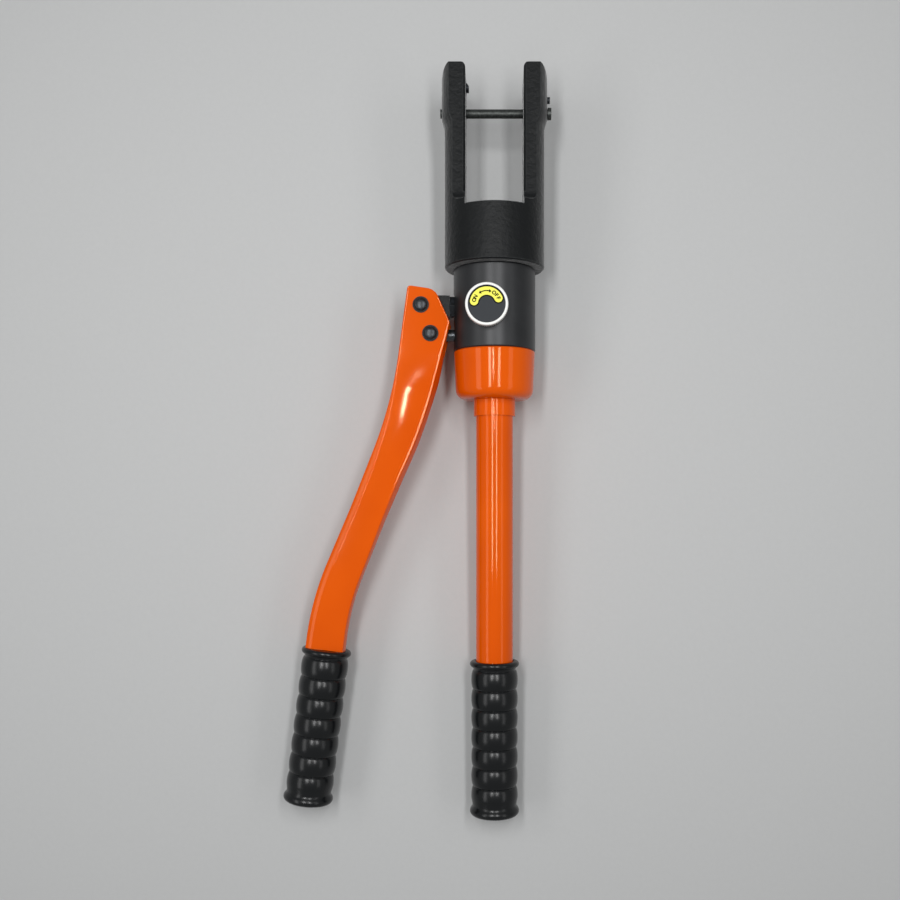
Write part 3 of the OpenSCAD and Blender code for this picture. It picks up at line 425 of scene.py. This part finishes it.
def grip_profile(bore_r):
    """Radius and height from the middle of the closed end up to the bore at the mouth."""
    points = [(0.02, 0.5), (RIM_R - 5.0, 0.4), (RIM_R - 3.6, 0.05)]
    points += arc(RIM_R - FOOT_ROUND, FOOT_ROUND, FOOT_ROUND, range(-80, 1, 10))
    points += [(RIM_R - depth, height) for depth, height in WAIST]
    pitch = (GRIP_LENGTH - FOOT - BEAD) / RIBS
    for rib in range(RIBS):
        for k in range(1, RIB_STEPS + 1):
            rise = k / RIB_STEPS
            if rib == 0 and rise < WAIST_SHARE:
                continue
            swell = math.sin(math.pi * rise) ** 0.5 if k < RIB_STEPS else 0.0
            points.append((GROOVE_R + (RIB_R - GROOVE_R) * swell, FOOT + (rib + rise) * pitch))
    points.append((GROOVE_R + 0.1, GRIP_LENGTH - BEAD + 0.8))
    points += arc(RIM_R - BEAD_ROUND, GRIP_LENGTH - BEAD_ROUND, BEAD_ROUND, range(-80, 91, 17))
    points += [(bore_r + 0.6, GRIP_LENGTH - 0.1), (bore_r, GRIP_LENGTH - 0.8), (bore_r, GRIP_LENGTH - BEAD)]
    return points


def grip_place(node, tilt):
    """Where a grip sits: its axis runs from closed end to mouth, tilt radians from the tool's axis."""
    axis = Vector((math.sin(tilt), math.cos(tilt), 0))
    side = Vector((math.cos(tilt), -math.sin(tilt), 0))
    corners = [v.co / MM for v in nodes[node].data.vertices]
    low = min(c.dot(axis) for c in corners)
    across = [c.dot(side) for c in corners]
    base = axis * low + side * (min(across) + max(across)) / 2
    turn = Matrix((side, Vector((0, 0, 1)), axis)).transposed().to_4x4()
    return Matrix.Translation(base) @ turn


print("a rib every", round((GRIP_LENGTH - FOOT - BEAD) / RIBS, 2), "mm")

# %% Both grips
TUBE_R, TAIL_R, TAIL_TILT = 12.5, 10.0, 7.15
for name, tilt, bore_r, body in (("handle_grip", 0.0, TUBE_R, "body"),
                                 ("lever_grip", math.radians(TAIL_TILT), TAIL_R, "lever")):
    verts, faces = turned(grip_profile(bore_r), grip_place(name, tilt))
    sleeve = new_piece(name + "_rubber", verts, faces, grip_rubber, body)
    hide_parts(name)
    print(sleeve.name, len(verts), "points")

# %% [markdown]
# ## The ram's wiper
# Where the ram leaves the head, a rubber wiper keeps dirt out. Its lip leans on the ram and rises to a thin
# edge, and a shallow trough behind the lip lets it give way.

# %% Wiper
low, high = (Vector(c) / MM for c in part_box("ram_wiper"))
bore_r = min(math.hypot(v.co.x, v.co.z) for v in nodes["ram_wiper"].data.vertices) / MM
rim_r, tall = (high.x - low.x) / 2, high.y - low.y
clear_r = bore_r + 0.35
lip = [(clear_r, 0), (rim_r, 0), (rim_r, tall - 0.3), (rim_r - 0.2, tall - 0.1), (rim_r - 0.5, tall - 0.1),
       (bore_r + 0.9, tall - 0.8), (bore_r + 0.6, tall - 0.7), (bore_r + 0.2, tall), (bore_r, tall - 0.1),
       (bore_r + 0.1, tall - 0.8), (clear_r, tall - 1.2), (clear_r, 0)]
seat = Matrix.Translation((0, low.y, 0)) @ Matrix.Rotation(-math.pi / 2, 4, "X")
verts, faces = turned(lip, seat, capped=False)
wiper = new_piece("ram_wiper_lip", verts, faces, nitrile, "head")
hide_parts("ram_wiper")
print("the wiper's lip has a radius of", round(bore_r, 2), "mm")

# %% [markdown]
# ## The cast lever
# The lever is one casting: a fork at the top that holds both pins, an S-bend, and a tail that enters the
# grip. A loft suits it: sections follow the bar's line, and each has a soft left edge, a crisp right edge
# and a right wall that leans out, so that the casting can leave its mould. The bar's line is built up from
# short steps, with straight stretches and two bends. Just below the fork the right side swells by a couple
# of millimetres.

# %% The lever's line
FULCRUM = Vector((-49.0, -62.1))
FORK_TILT, UPPER_TURN, LOWER_TURN = 7.6, 14.8, 15.25
FORK_SIDE, FORK_TOP = 3.4, 12.4
UPPER_R, STRAIGHT, LOWER_R, TAIL = 292, 82, 180, 7
UPPER_START = 40.6
UPPER_END = UPPER_START + math.radians(UPPER_TURN) * UPPER_R
LOWER_START = UPPER_END + STRAIGHT
LOWER_END = LOWER_START + math.radians(LOWER_TURN) * LOWER_R
BAR_END = LOWER_END + TAIL
FORK_WIDTH, MIDDLE_WIDTH, TAIL_WIDTH = 28, 24.6, 26.4
LINE_STEPS = 400


def blend(s, stops):
    """A value that runs straight between stops, each a distance and a value."""
    for (s0, v0), (s1, v1) in zip(stops, stops[1:]):
        if s <= s1:
            return v0 + (v1 - v0) * max(0.0, (s - s0) / (s1 - s0))
    return stops[-1][1]


def tilt_at(s):
    """How far the bar has turned away from the fork's direction, in radians."""
    return math.radians(blend(s, [(UPPER_START, 0), (UPPER_END, UPPER_TURN), (LOWER_START, UPPER_TURN),
                                  (LOWER_END, UPPER_TURN - LOWER_TURN)]))


line = [Vector((FORK_SIDE, FORK_TOP))]
for i in range(LINE_STEPS):
    t = tilt_at((i + 0.5) * BAR_END / LINE_STEPS)
    line.append(line[-1] + Vector((-math.sin(t), -math.cos(t))) * BAR_END / LINE_STEPS)
print("the bar is", round(BAR_END, 1), "mm long")

# %% The lever's sections
LEFT = FORK_SIDE - FORK_WIDTH / 2
BAR_SECTIONS = 80
sections = [  # left point, right point, distance along the bar
    ((LEFT + 1.9, 11.7), (4.2, 11.5), 0), ((LEFT + 0.7, 11.3), (6.6, 10.9), 0.4),
    ((LEFT + 0.1, 10.2), (8.8, 9.6), 1.5), ((LEFT, 8.6), (10.4, 7.8), 3),
    ((LEFT, 2.5), (14.6, 1.0), 10), ((LEFT, -4.5), (19.0, -6.0), 17),
    ((LEFT, -8.5), (20.8, -9.0), 21), ((LEFT, -18), (20.2, -18), 30.4),
    ((LEFT, -26), (19.7, -26), 38.4)]
widths = [(UPPER_START, FORK_WIDTH), ((UPPER_END + LOWER_START) / 2, MIDDLE_WIDTH), (LOWER_END, TAIL_WIDTH)]
swells = [(UPPER_START, 2.1), (58, 2.0), (77, 1.0), (107, 0.4), (125, 0.0)]
for i in range(BAR_SECTIONS + 1):
    s = UPPER_START + (BAR_END - UPPER_START) * i / BAR_SECTIONS
    centre, t, half = line[round(s / BAR_END * LINE_STEPS)], tilt_at(s), blend(s, widths) / 2
    across = Vector((math.cos(t), -math.sin(t)))
    sections.append((tuple(centre - across * half), tuple(centre + across * (half + blend(s, swells))), s))
print("the lever has", len(sections), "sections")

# %% [markdown]
# Each section is one closed outline whose sizes change along the bar. A narrow flat strip follows the right
# edge. It is tilted so that it mirrors a lamp to the viewer, which draws the bright line along that edge.

# %% The lever's outline
EDGE_R, BEVEL_SLOPE, RIDGE_R = 0.5, 0.34, 0.7


def corner(x, z, r, from_a, to_a):
    """Seven points of a rounded corner about a centre."""
    return arc(x, z, r, [from_a + (to_a - from_a) * k / 6 for k in range(7)])


def section_outline(width, s):
    """Points across and out of the lever's face, round from the back. The right wall leans in towards the
    front and the back from a ridge, the left edge has a shallow bevel, and the face is crowned where the bar
    bends and then turns to the right."""
    half_t = blend(s, [(30, 10.4), (70, 10.0)])
    back_r = blend(s, [(30, 0.9), (95, 3.0)])
    under = blend(s, [(30, 0.0), (95, 2.2)])
    lean = blend(s, [(19, 0.2), (30, 0.5), (44, 1.6), (58, 2.7), (75, 2.4), (140, 2.4), (190, 1.3)])
    ridge = blend(s, [(40, half_t - 5), (60, 2.5)])
    strip = blend(s, [(17, 0.4), (30, 1.0)])
    strip_tilt = blend(s, [(21, 9.3), (64, 9.9), (120, 11.5)])
    strip_fall = math.tan(math.radians(strip_tilt))
    bevel = blend(s, [(60, 0.5), (130, 4.4)])
    drop = BEVEL_SLOPE * bevel
    crown = blend(s, [(44, 0.0), (70, 0.3), (96, 0.3), (116, 0.06)])
    roll = blend(s, [(44, 0.0), (70, 0.06)])
    strip_x = width - lean - EDGE_R - strip

    def face(x):
        """How high the face stands at a place across the section."""
        across = (x - bevel) / (strip_x - bevel)
        return half_t - crown * (2 * across - 1) ** 2 - roll * (x - bevel)

    points = corner(back_r, back_r - half_t, back_r, 180, 270)
    points += corner(width - under - back_r, back_r - half_t, back_r, 270, 350)
    points += [(width - 0.1 * under, ridge - RIDGE_R), (width - 0.15 * lean, ridge + RIDGE_R)]
    strip_end = face(strip_x) - strip * strip_fall
    points += corner(strip_x + strip, strip_end - EDGE_R, EDGE_R, 20, 90 - strip_tilt)
    points += [(strip_x + x, face(strip_x) - x * strip_fall) for x in (strip - 0.15, 0.12, 0.0)]
    face_x = [strip_x + (bevel - strip_x) * k / 12 for k in range(1, 12)]
    points += [(x, face(x)) for x in [strip_x - 0.4] + face_x + [bevel + 0.6]]
    top = half_t - crown
    points += [(bevel + 0.25, top), (bevel - 0.25, top - 0.1), (bevel / 2, top - drop / 2)]
    return points + [(0.4, top - drop), (0.1, top - drop - 0.25), (0, top - drop - 0.7)]


print("an outline has", len(section_outline(FORK_WIDTH, UPPER_START)), "points")

# %% Loft the lever
def to_tool(u, w):
    """From the lever's fork, with the fulcrum at zero, to the tool."""
    t = math.radians(FORK_TILT)
    return FULCRUM + Vector((u * math.cos(t) + w * math.sin(t), w * math.cos(t) - u * math.sin(t)))


verts = []
for left, right, s in sections:
    left, right = Vector(left), Vector(right)
    across, width = (right - left).normalized(), (right - left).length
    for x, z in section_outline(width, s):
        p = to_tool(*(left + across * x))
        verts.append(Vector((p.x, p.y, z)) * MM)
faces = joined(len(sections), len(verts) // len(sections))
lever = new_piece("cast_lever", verts, faces, enamel, "lever")
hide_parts("pump_lever")
print("lever:", len(faces), "faces")

# %% [markdown]
# The fork needs a slot for the bracket and the plunger. A Boolean cuts it from the loft, and its result is
# kept in the mesh, so that no cutting block stays in the scene.

# %% Cut the fork's slot
SLOT_HALF, SLOT_LEFT, SLOT_LOW = 6.5, -7.6, -31
PAST_RIGHT, PAST_TOP = 40, 20
block_corners = [to_tool(u, w) for u, w in ((SLOT_LEFT, PAST_TOP), (SLOT_LEFT, SLOT_LOW),
                                            (PAST_RIGHT, SLOT_LOW), (PAST_RIGHT, PAST_TOP))]
block = bpy.data.meshes.new("slot_block")
block.from_pydata([(p.x * MM, p.y * MM, z * MM) for z in (-SLOT_HALF, SLOT_HALF) for p in block_corners], [],
                  [(3, 2, 1, 0), (4, 5, 6, 7)] + joined(2, 4, capped=False))
cutter = bpy.data.objects.new("slot_block", block)
bpy.context.scene.collection.objects.link(cutter)
cut = lever.modifiers.new("slot", "BOOLEAN")
cut.object, cut.operation, cut.solver = cutter, "DIFFERENCE", "EXACT"
lever.modifiers.move(1, 0)
lever.modifiers["smooth by angle"].show_viewport = False
bpy.context.view_layer.update()
whole = lever.data
lever.data = bpy.data.meshes.new_from_object(lever.evaluated_get(bpy.context.evaluated_depsgraph_get()))
lever.modifiers.remove(cut)
lever.modifiers["smooth by angle"].show_viewport = True
bpy.data.objects.remove(cutter)
bpy.data.meshes.remove(block)
bpy.data.meshes.remove(whole)
print("lever with its slot:", len(lever.data.polygons), "faces")

# %% [markdown]
# ## The dial
# The release knob is a slate disc in a white rim with fine flutes for the fingers. On its face lies a
# yellow arc with rounded ends, printed ON, OFF and a double arrow. The rim is turned; the arc is a flat
# film with a black border, and the print stands on it by the thickness of ink.

# %% The dial's rim
KNOB = Vector((-5.0, -66.0))
RIM_IN, RIM_SIDE, RIM_OUT = 12.1, 13.8, 13.9
INNER_ROUND, OUTER_ROUND = 0.4, 0.9
FLUTES, FLUTE_DEPTH = 60, 0.14
low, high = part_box("knob_ring")
face_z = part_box("release_knob")[1].z / MM
back_z, rim_z = low.z / MM, high.z / MM
rim = [(RIM_IN, back_z), (RIM_SIDE - 0.3, back_z), (RIM_SIDE - 0.1, back_z + 0.3), (RIM_SIDE, back_z + 1),
       (RIM_SIDE, rim_z - 1.5), (RIM_OUT, rim_z - 1.2)]
rim += arc(RIM_OUT - OUTER_ROUND, rim_z - OUTER_ROUND, OUTER_ROUND, range(0, 91, 15))
rim += arc(RIM_IN + INNER_ROUND, rim_z - INNER_ROUND, INNER_ROUND, range(90, 181, 30))
rim += [(RIM_IN, face_z - 1.0)]


def flutes(i, a):
    """Flutes on the rim's side, between its third and its fifth profile point."""
    return FLUTE_DEPTH * math.cos(FLUTES * a) if 2 <= i <= 4 else 0.0


verts, faces = turned(rim, Matrix.Translation((KNOB.x, KNOB.y, 0)), 6 * FLUTES, flutes, capped=False)
rim_piece = new_piece("dial_rim", verts, faces, white_abs, "knob")
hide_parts("knob_ring")
print("dial face at", round(face_z, 2), "mm above the axis")

# %% The dial's arc
ARC_MID, ARC_HALF, ARC_FROM, ARC_TO = 8.25, 2.65, 24, 170
BORDER, BORDER_THICK = 0.8, 0.1
FILM_LIFT, FILM_THICK = 0.05, 0.15


def polar(radius, degrees):
    """A place on the dial, from its centre."""
    a = math.radians(degrees)
    return Vector((math.cos(a), math.sin(a))) * radius


def on_dial(p, z):
    """A place on the dial, in the tool's frame and in metres."""
    return Vector((KNOB.x + p.x, KNOB.y + p.y, z)) * MM


def arc_outline(half):
    """A band along the dial with rounded ends, as points round its edge."""
    along = [ARC_FROM + (ARC_TO - ARC_FROM) * k / 48 for k in range(49)]
    half_turn = [180 * k / 12 for k in range(1, 12)]
    points = [polar(ARC_MID + half, a) for a in along]
    points += [polar(ARC_MID, ARC_TO) + polar(half, ARC_TO + b) for b in half_turn]
    points += [polar(ARC_MID - half, a) for a in reversed(along)]
    return points + [polar(ARC_MID, ARC_FROM) - polar(half, ARC_FROM + b) for b in half_turn]


def flat_piece(name, outline, z, thick, material):
    """A flat film on the dial, with its outline given round the dial's centre."""
    verts = [on_dial(p, h) for h in (z, z + thick) for p in outline]
    return new_piece(name, verts, joined(2, len(outline)), material, "knob")


border = flat_piece("dial_arc_border", arc_outline(ARC_HALF + BORDER), face_z, BORDER_THICK,
                    ink)
film = flat_piece("dial_arc", arc_outline(ARC_HALF), face_z + FILM_LIFT, FILM_THICK,
                  yellow_film)
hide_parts("knob_label")
print("films:", border.name, film.name)

# %% The dial's print
WORDS = (("ON", 157), ("OFF", 40))  # each word with the angle of its middle
LETTER_SIZE, LETTER_STROKE, LETTER_STEP = 3.3, 0.14, 15.5
SHAFT_FROM, SHAFT_TO, SHAFT_HALF = 78, 118, 0.35
HEAD_LAP, HEAD_LENGTH, HEAD_HALF = 1, 11, 1.2
INK_LIFT, INK_THICK = 0.02, 0.03
print_z = face_z + FILM_LIFT + FILM_THICK + INK_LIFT
verts, faces = [], []
for word, middle in WORDS:
    for k, letter in enumerate(word):
        curve = bpy.data.curves.new("letter", "FONT")
        curve.body, curve.size, curve.offset = letter, LETTER_SIZE, LETTER_STROKE
        curve.align_x, curve.align_y = "CENTER", "CENTER"
        holder = bpy.data.objects.new("letter", curve)
        bpy.context.scene.collection.objects.link(holder)
        bpy.context.view_layer.update()
        shape = holder.evaluated_get(bpy.context.evaluated_depsgraph_get()).to_mesh()
        angle = middle - (k - (len(word) - 1) / 2) * LETTER_STEP
        first = len(verts)
        verts += [on_dial(polar(ARC_MID + v.co.y, angle) + polar(v.co.x, angle - 90), print_z)
                  for v in shape.vertices]
        faces += [[first + i for i in polygon.vertices] for polygon in shape.polygons]
        bpy.data.objects.remove(holder)
        bpy.data.curves.remove(curve)
shaft = [(ARC_MID - SHAFT_HALF, a) for a in range(SHAFT_FROM, SHAFT_TO + 1, 2)]
shaft += [(ARC_MID + SHAFT_HALF, a) for a in range(SHAFT_TO, SHAFT_FROM - 1, -2)]
heads = [[(ARC_MID - way * HEAD_HALF, a), (ARC_MID + way * HEAD_HALF, a), (ARC_MID, a + way * HEAD_LENGTH)]
         for way, a in ((1, SHAFT_TO - HEAD_LAP), (-1, SHAFT_FROM + HEAD_LAP))]
for shape in [shaft] + heads:
    first = len(verts)
    verts += [on_dial(polar(r, a), print_z) for r, a in shape]
    faces.append(list(range(first, len(verts))))
dial_print = new_piece("dial_print", verts, faces, ink, "knob")
dial_print.modifiers.new("ink thickness", "SOLIDIFY").thickness = INK_THICK * MM
print("print:", len(dial_print.data.polygons), "faces")

# %% [markdown]
# ## Springs of round wire
# Six coil springs work inside the tool. A rigid spring would be pierced when its piston, ball or catch
# moves. Each one is wound again as round wire along a helix and rides on its joint's parent body. The record
# says which spring belongs to which joint.

# %% Wind a spring
WIRE_SIDES, TURN_STEPS = 10, 28


def wound(base, axis, length, outer_r, thick, turns):
    """Points and faces of round wire on a helix that runs from base along axis, in millimetres."""
    side = axis.orthogonal().normalized()
    other, steps = axis.cross(side), round(turns * TURN_STEPS)
    verts = []
    for i in range(steps + 1):
        a = math.tau * turns * i / steps
        out = side * math.cos(a) + other * math.sin(a)
        middle = base + out * (outer_r - thick / 2) + axis * (thick / 2 + (length - thick) * i / steps)
        for b in (math.tau * k / WIRE_SIDES for k in range(WIRE_SIDES)):
            verts.append((middle + (out * math.cos(b) + axis * math.sin(b)) * thick / 2) * MM)
    return verts, joined(steps + 1, WIRE_SIDES)


print("each turn of wire has", TURN_STEPS * WIRE_SIDES, "faces")

# %% Wind the six springs
USUAL_WINDING = (0.6, 3)  # the wire's thickness and the number of turns
OWN_WINDING = {"ram_return_spring": (2.4, 3.5), "outlet_spring": (0.6, 4)}
for joint in frame["record"]["behaviour"]["joints"]:
    for change in joint.get("deforming_nodes", []):
        name, letter = change["node"], change["mode"][-1]
        k = "xyz".index(letter)
        low, high = (Vector(c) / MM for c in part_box(name))
        axis = Vector([float(i == k) for i in range(3)])
        length, outer_r = high[k] - low[k], (high[k - 1] - low[k - 1]) / 2
        base = (low + high) / 2 - axis * length / 2
        verts, faces = wound(base, axis, length, outer_r, *OWN_WINDING.get(name, USUAL_WINDING))
        spring = new_piece(name + "_wire", verts, faces, wire, joint["parent"])
        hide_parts(name)
        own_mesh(spring)

# %% [markdown]
# ## The backdrop
# Behind the table stands a plain grey backdrop. It is shown to the camera and to every ray that reaches it
# by way of a mirror or glass, so that a reflection agrees with the picture. All other rays meet the pale
# walls, which light the tool.

# %% What sees the backdrop
BACKDROP = "#A8A9A9"


def shows_backdrop(material):
    """One for rays from the camera or by way of metal or glass, which see the backdrop, and else nought."""
    rays = add(material, "LightPath").outputs
    direct = add(material, "Math", {0: rays["Is Camera Ray"], 1: rays["Is Glossy Ray"]}, operation="MAXIMUM")
    return add(material, "Math", {0: direct.outputs["Value"], 1: rays["Is Transmission Ray"]},
               operation="MAXIMUM").outputs["Value"]


print("backdrop:", BACKDROP)

# %% [markdown]
# ## The table
# The tool rests on its collar and on the feet of the grips. The collar is thicker than the grips, so the
# tool's axis leans by nearly three degrees; instead of tilting the tool, the table is tilted under it, and
# runs level further out. Its height is worked out from the two places that touch it. Far from the tool the
# card fades into the backdrop, which hides the horizon.

# %% The table's sheet
COLLAR_Y, FOOT_Y = -35.8, -401.0
CLEARANCE = 0.2
NEAR, FAR, WIDE = -0.44, 0.25, 3.0  # where the slope begins and ends, and the sheet's edges, in metres
collar_z, foot_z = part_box("yoke_head")[0].z / MM, -RIM_R
slope = (foot_z - collar_z) / (FOOT_Y - COLLAR_Y)
heights = [(collar_z - CLEARANCE) * MM + slope * (min(max(y, NEAR), FAR) - COLLAR_Y * MM)
           for y in (-WIDE, NEAR, FAR, WIDE)]
sheet = bpy.data.meshes.new("table")
sheet.from_pydata([(x, y, z) for y, z in zip((-WIDE, NEAR, FAR, WIDE), heights) for x in (-WIDE, WIDE)], [],
                  [(2 * k, 2 * k + 1, 2 * k + 3, 2 * k + 2) for k in range(3)])
sheet.shade_smooth()
table = bpy.data.objects.new("table", sheet)
bpy.context.scene.collection.objects.link(table)
table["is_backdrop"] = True
print("the table leans by", round(math.degrees(math.atan(slope)), 2), "degrees")

# %% The table's card
TOOL_MIDDLE = (0.0, -0.17, 0.0)
FADE_FROM, FADE_TO = 0.42, 0.85
paper, shader = start("matt pale card", "#C0C1C1", 0.85)
place = add(paper, "TexCoord").outputs["Object"]
fleck = add(paper, "TexNoise", {"Vector": place, "Scale": per(3), "Detail": 3.0})
tint = add(paper, "ValToRGB", {"Fac": fleck.outputs["Fac"]})
for stop, colour in zip(tint.color_ramp.elements, ("#BEBFBF", "#C2C3C3")):
    stop.color = linear(colour)
link(paper, tint.outputs["Color"], shader.inputs["Base Color"])
far_off = add(paper, "VectorMath", {0: place, 1: TOOL_MIDDLE}, operation="DISTANCE")
fade = add(paper, "MapRange", {"Value": far_off.outputs["Value"], "From Min": FADE_FROM,
                               "From Max": FADE_TO}, interpolation_type="SMOOTHSTEP")
seen = add(paper, "Math", {0: fade.outputs["Result"], 1: shows_backdrop(paper)}, operation="MULTIPLY")
haze = add(paper, "Emission", {"Color": linear(BACKDROP)})
both = add(paper, "MixShader", {0: seen.outputs["Value"], 1: shader.outputs[0], 2: haze.outputs[0]})
link(paper, both.outputs[0], paper.node_tree.nodes["Material Output"].inputs["Surface"])
sheet.materials.append(paper)
print("made", paper.name)

# %% [markdown]
# ## Light
# The tool was lit in a light tent: a pair of narrow lamps close to the lens draws two thin lines along
# every round piece, a panel on each side gives the broad soft lines, and the pale walls fill the rest. The
# lamps run along the tool, because a cylinder shows a lamp as a line along its axis. A small lamp beside
# the lens puts a glint on the lever's upper bend.

# %% Lamps
LAMP_HEIGHT = 0.95


def panel(name, x, y, width, length, watts):
    """A lamp that runs along the tool and turns its face to the tool's axis."""
    light = bpy.data.lights.new(name, "AREA")
    light.shape, light.size, light.size_y, light.energy = "RECTANGLE", width, length, watts
    lamp = bpy.data.objects.new(name, light)
    bpy.context.scene.collection.objects.link(lamp)
    lamp.location, lamp.rotation_euler = (x, y, LAMP_HEIGHT), (0, math.atan2(x, LAMP_HEIGHT), 0)
    lamp.visible_camera = False
    return lamp


lamps = [  # each lamp's place across and along the tool, its width and length, and its watts
    panel("left strip", -0.22, 0.02, 0.11, 0.65, 3.8), panel("right strip", 0.22, 0.02, 0.1, 0.65, 3.4),
    panel("left wall", -1.0, -0.16, 0.35, 1.3, 3.6), panel("right wall", 1.0, -0.16, 0.3, 1.3, 1.9),
    panel("small lamp", -0.055, -0.056, 0.016, 0.045, 0.26),
]
print("lamps:", [lamp.name for lamp in lamps])

# %% The tent's walls
WALL_LIGHT = 0.25
world = bpy.data.worlds.new("tent walls")
world.use_nodes = True
walls = world.node_tree.nodes["Background"]
walls.inputs["Color"].default_value = linear("#D8D8D8")
walls.inputs["Strength"].default_value = WALL_LIGHT
backdrop = add(world, "Background", {"Color": linear(BACKDROP)})
seen = add(world, "MixShader", {0: shows_backdrop(world), 1: walls.outputs[0], 2: backdrop.outputs[0]})
link(world, seen.outputs[0], world.node_tree.nodes["World Output"].inputs["Surface"])
bpy.context.scene.world = world
print("made", world.name)

# %% [markdown]
# ## The camera
# The photograph's proportions fit a 40 mm lens about two thirds of a metre above the tool, looking
# straight down on the tool's axis. The axis stands a little right of the picture's middle, and the point
# below the lens a little under it, which a small shift of the lens gives without tilting the view.

# %% Camera
PICTURE, AXIS_RIGHT, POINT_UNDER = 900, 44.5, 50  # pixels
CAMERA_Y, CAMERA_Z = -0.192, 0.675
lens = bpy.data.cameras.new("camera")
lens.lens, lens.sensor_width = 40, 36
lens.shift_x, lens.shift_y = -AXIS_RIGHT / PICTURE, POINT_UNDER / PICTURE
camera = bpy.data.objects.new("camera", lens)
bpy.context.scene.collection.objects.link(camera)
camera.location = (0, CAMERA_Y, CAMERA_Z)
bpy.context.scene.camera = camera
bpy.context.scene.view_settings.view_transform = "Standard"
print("the camera stands", CAMERA_Z, "m above the axis")

# %% [markdown]
# ## Sizes
# The dressed tool's box is measured like the CAD model's, and how much it has grown along each axis is
# printed in millimetres. The dressed tool has to fill the same box as the CAD model.

# %% Compare the sizes and finish
visual_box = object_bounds()
growth = [b - a for a, b in zip(cad_box[1] - cad_box[0], visual_box[1] - visual_box[0])]
print("grown by", [round(g / MM, 2) for g in growth], "mm")
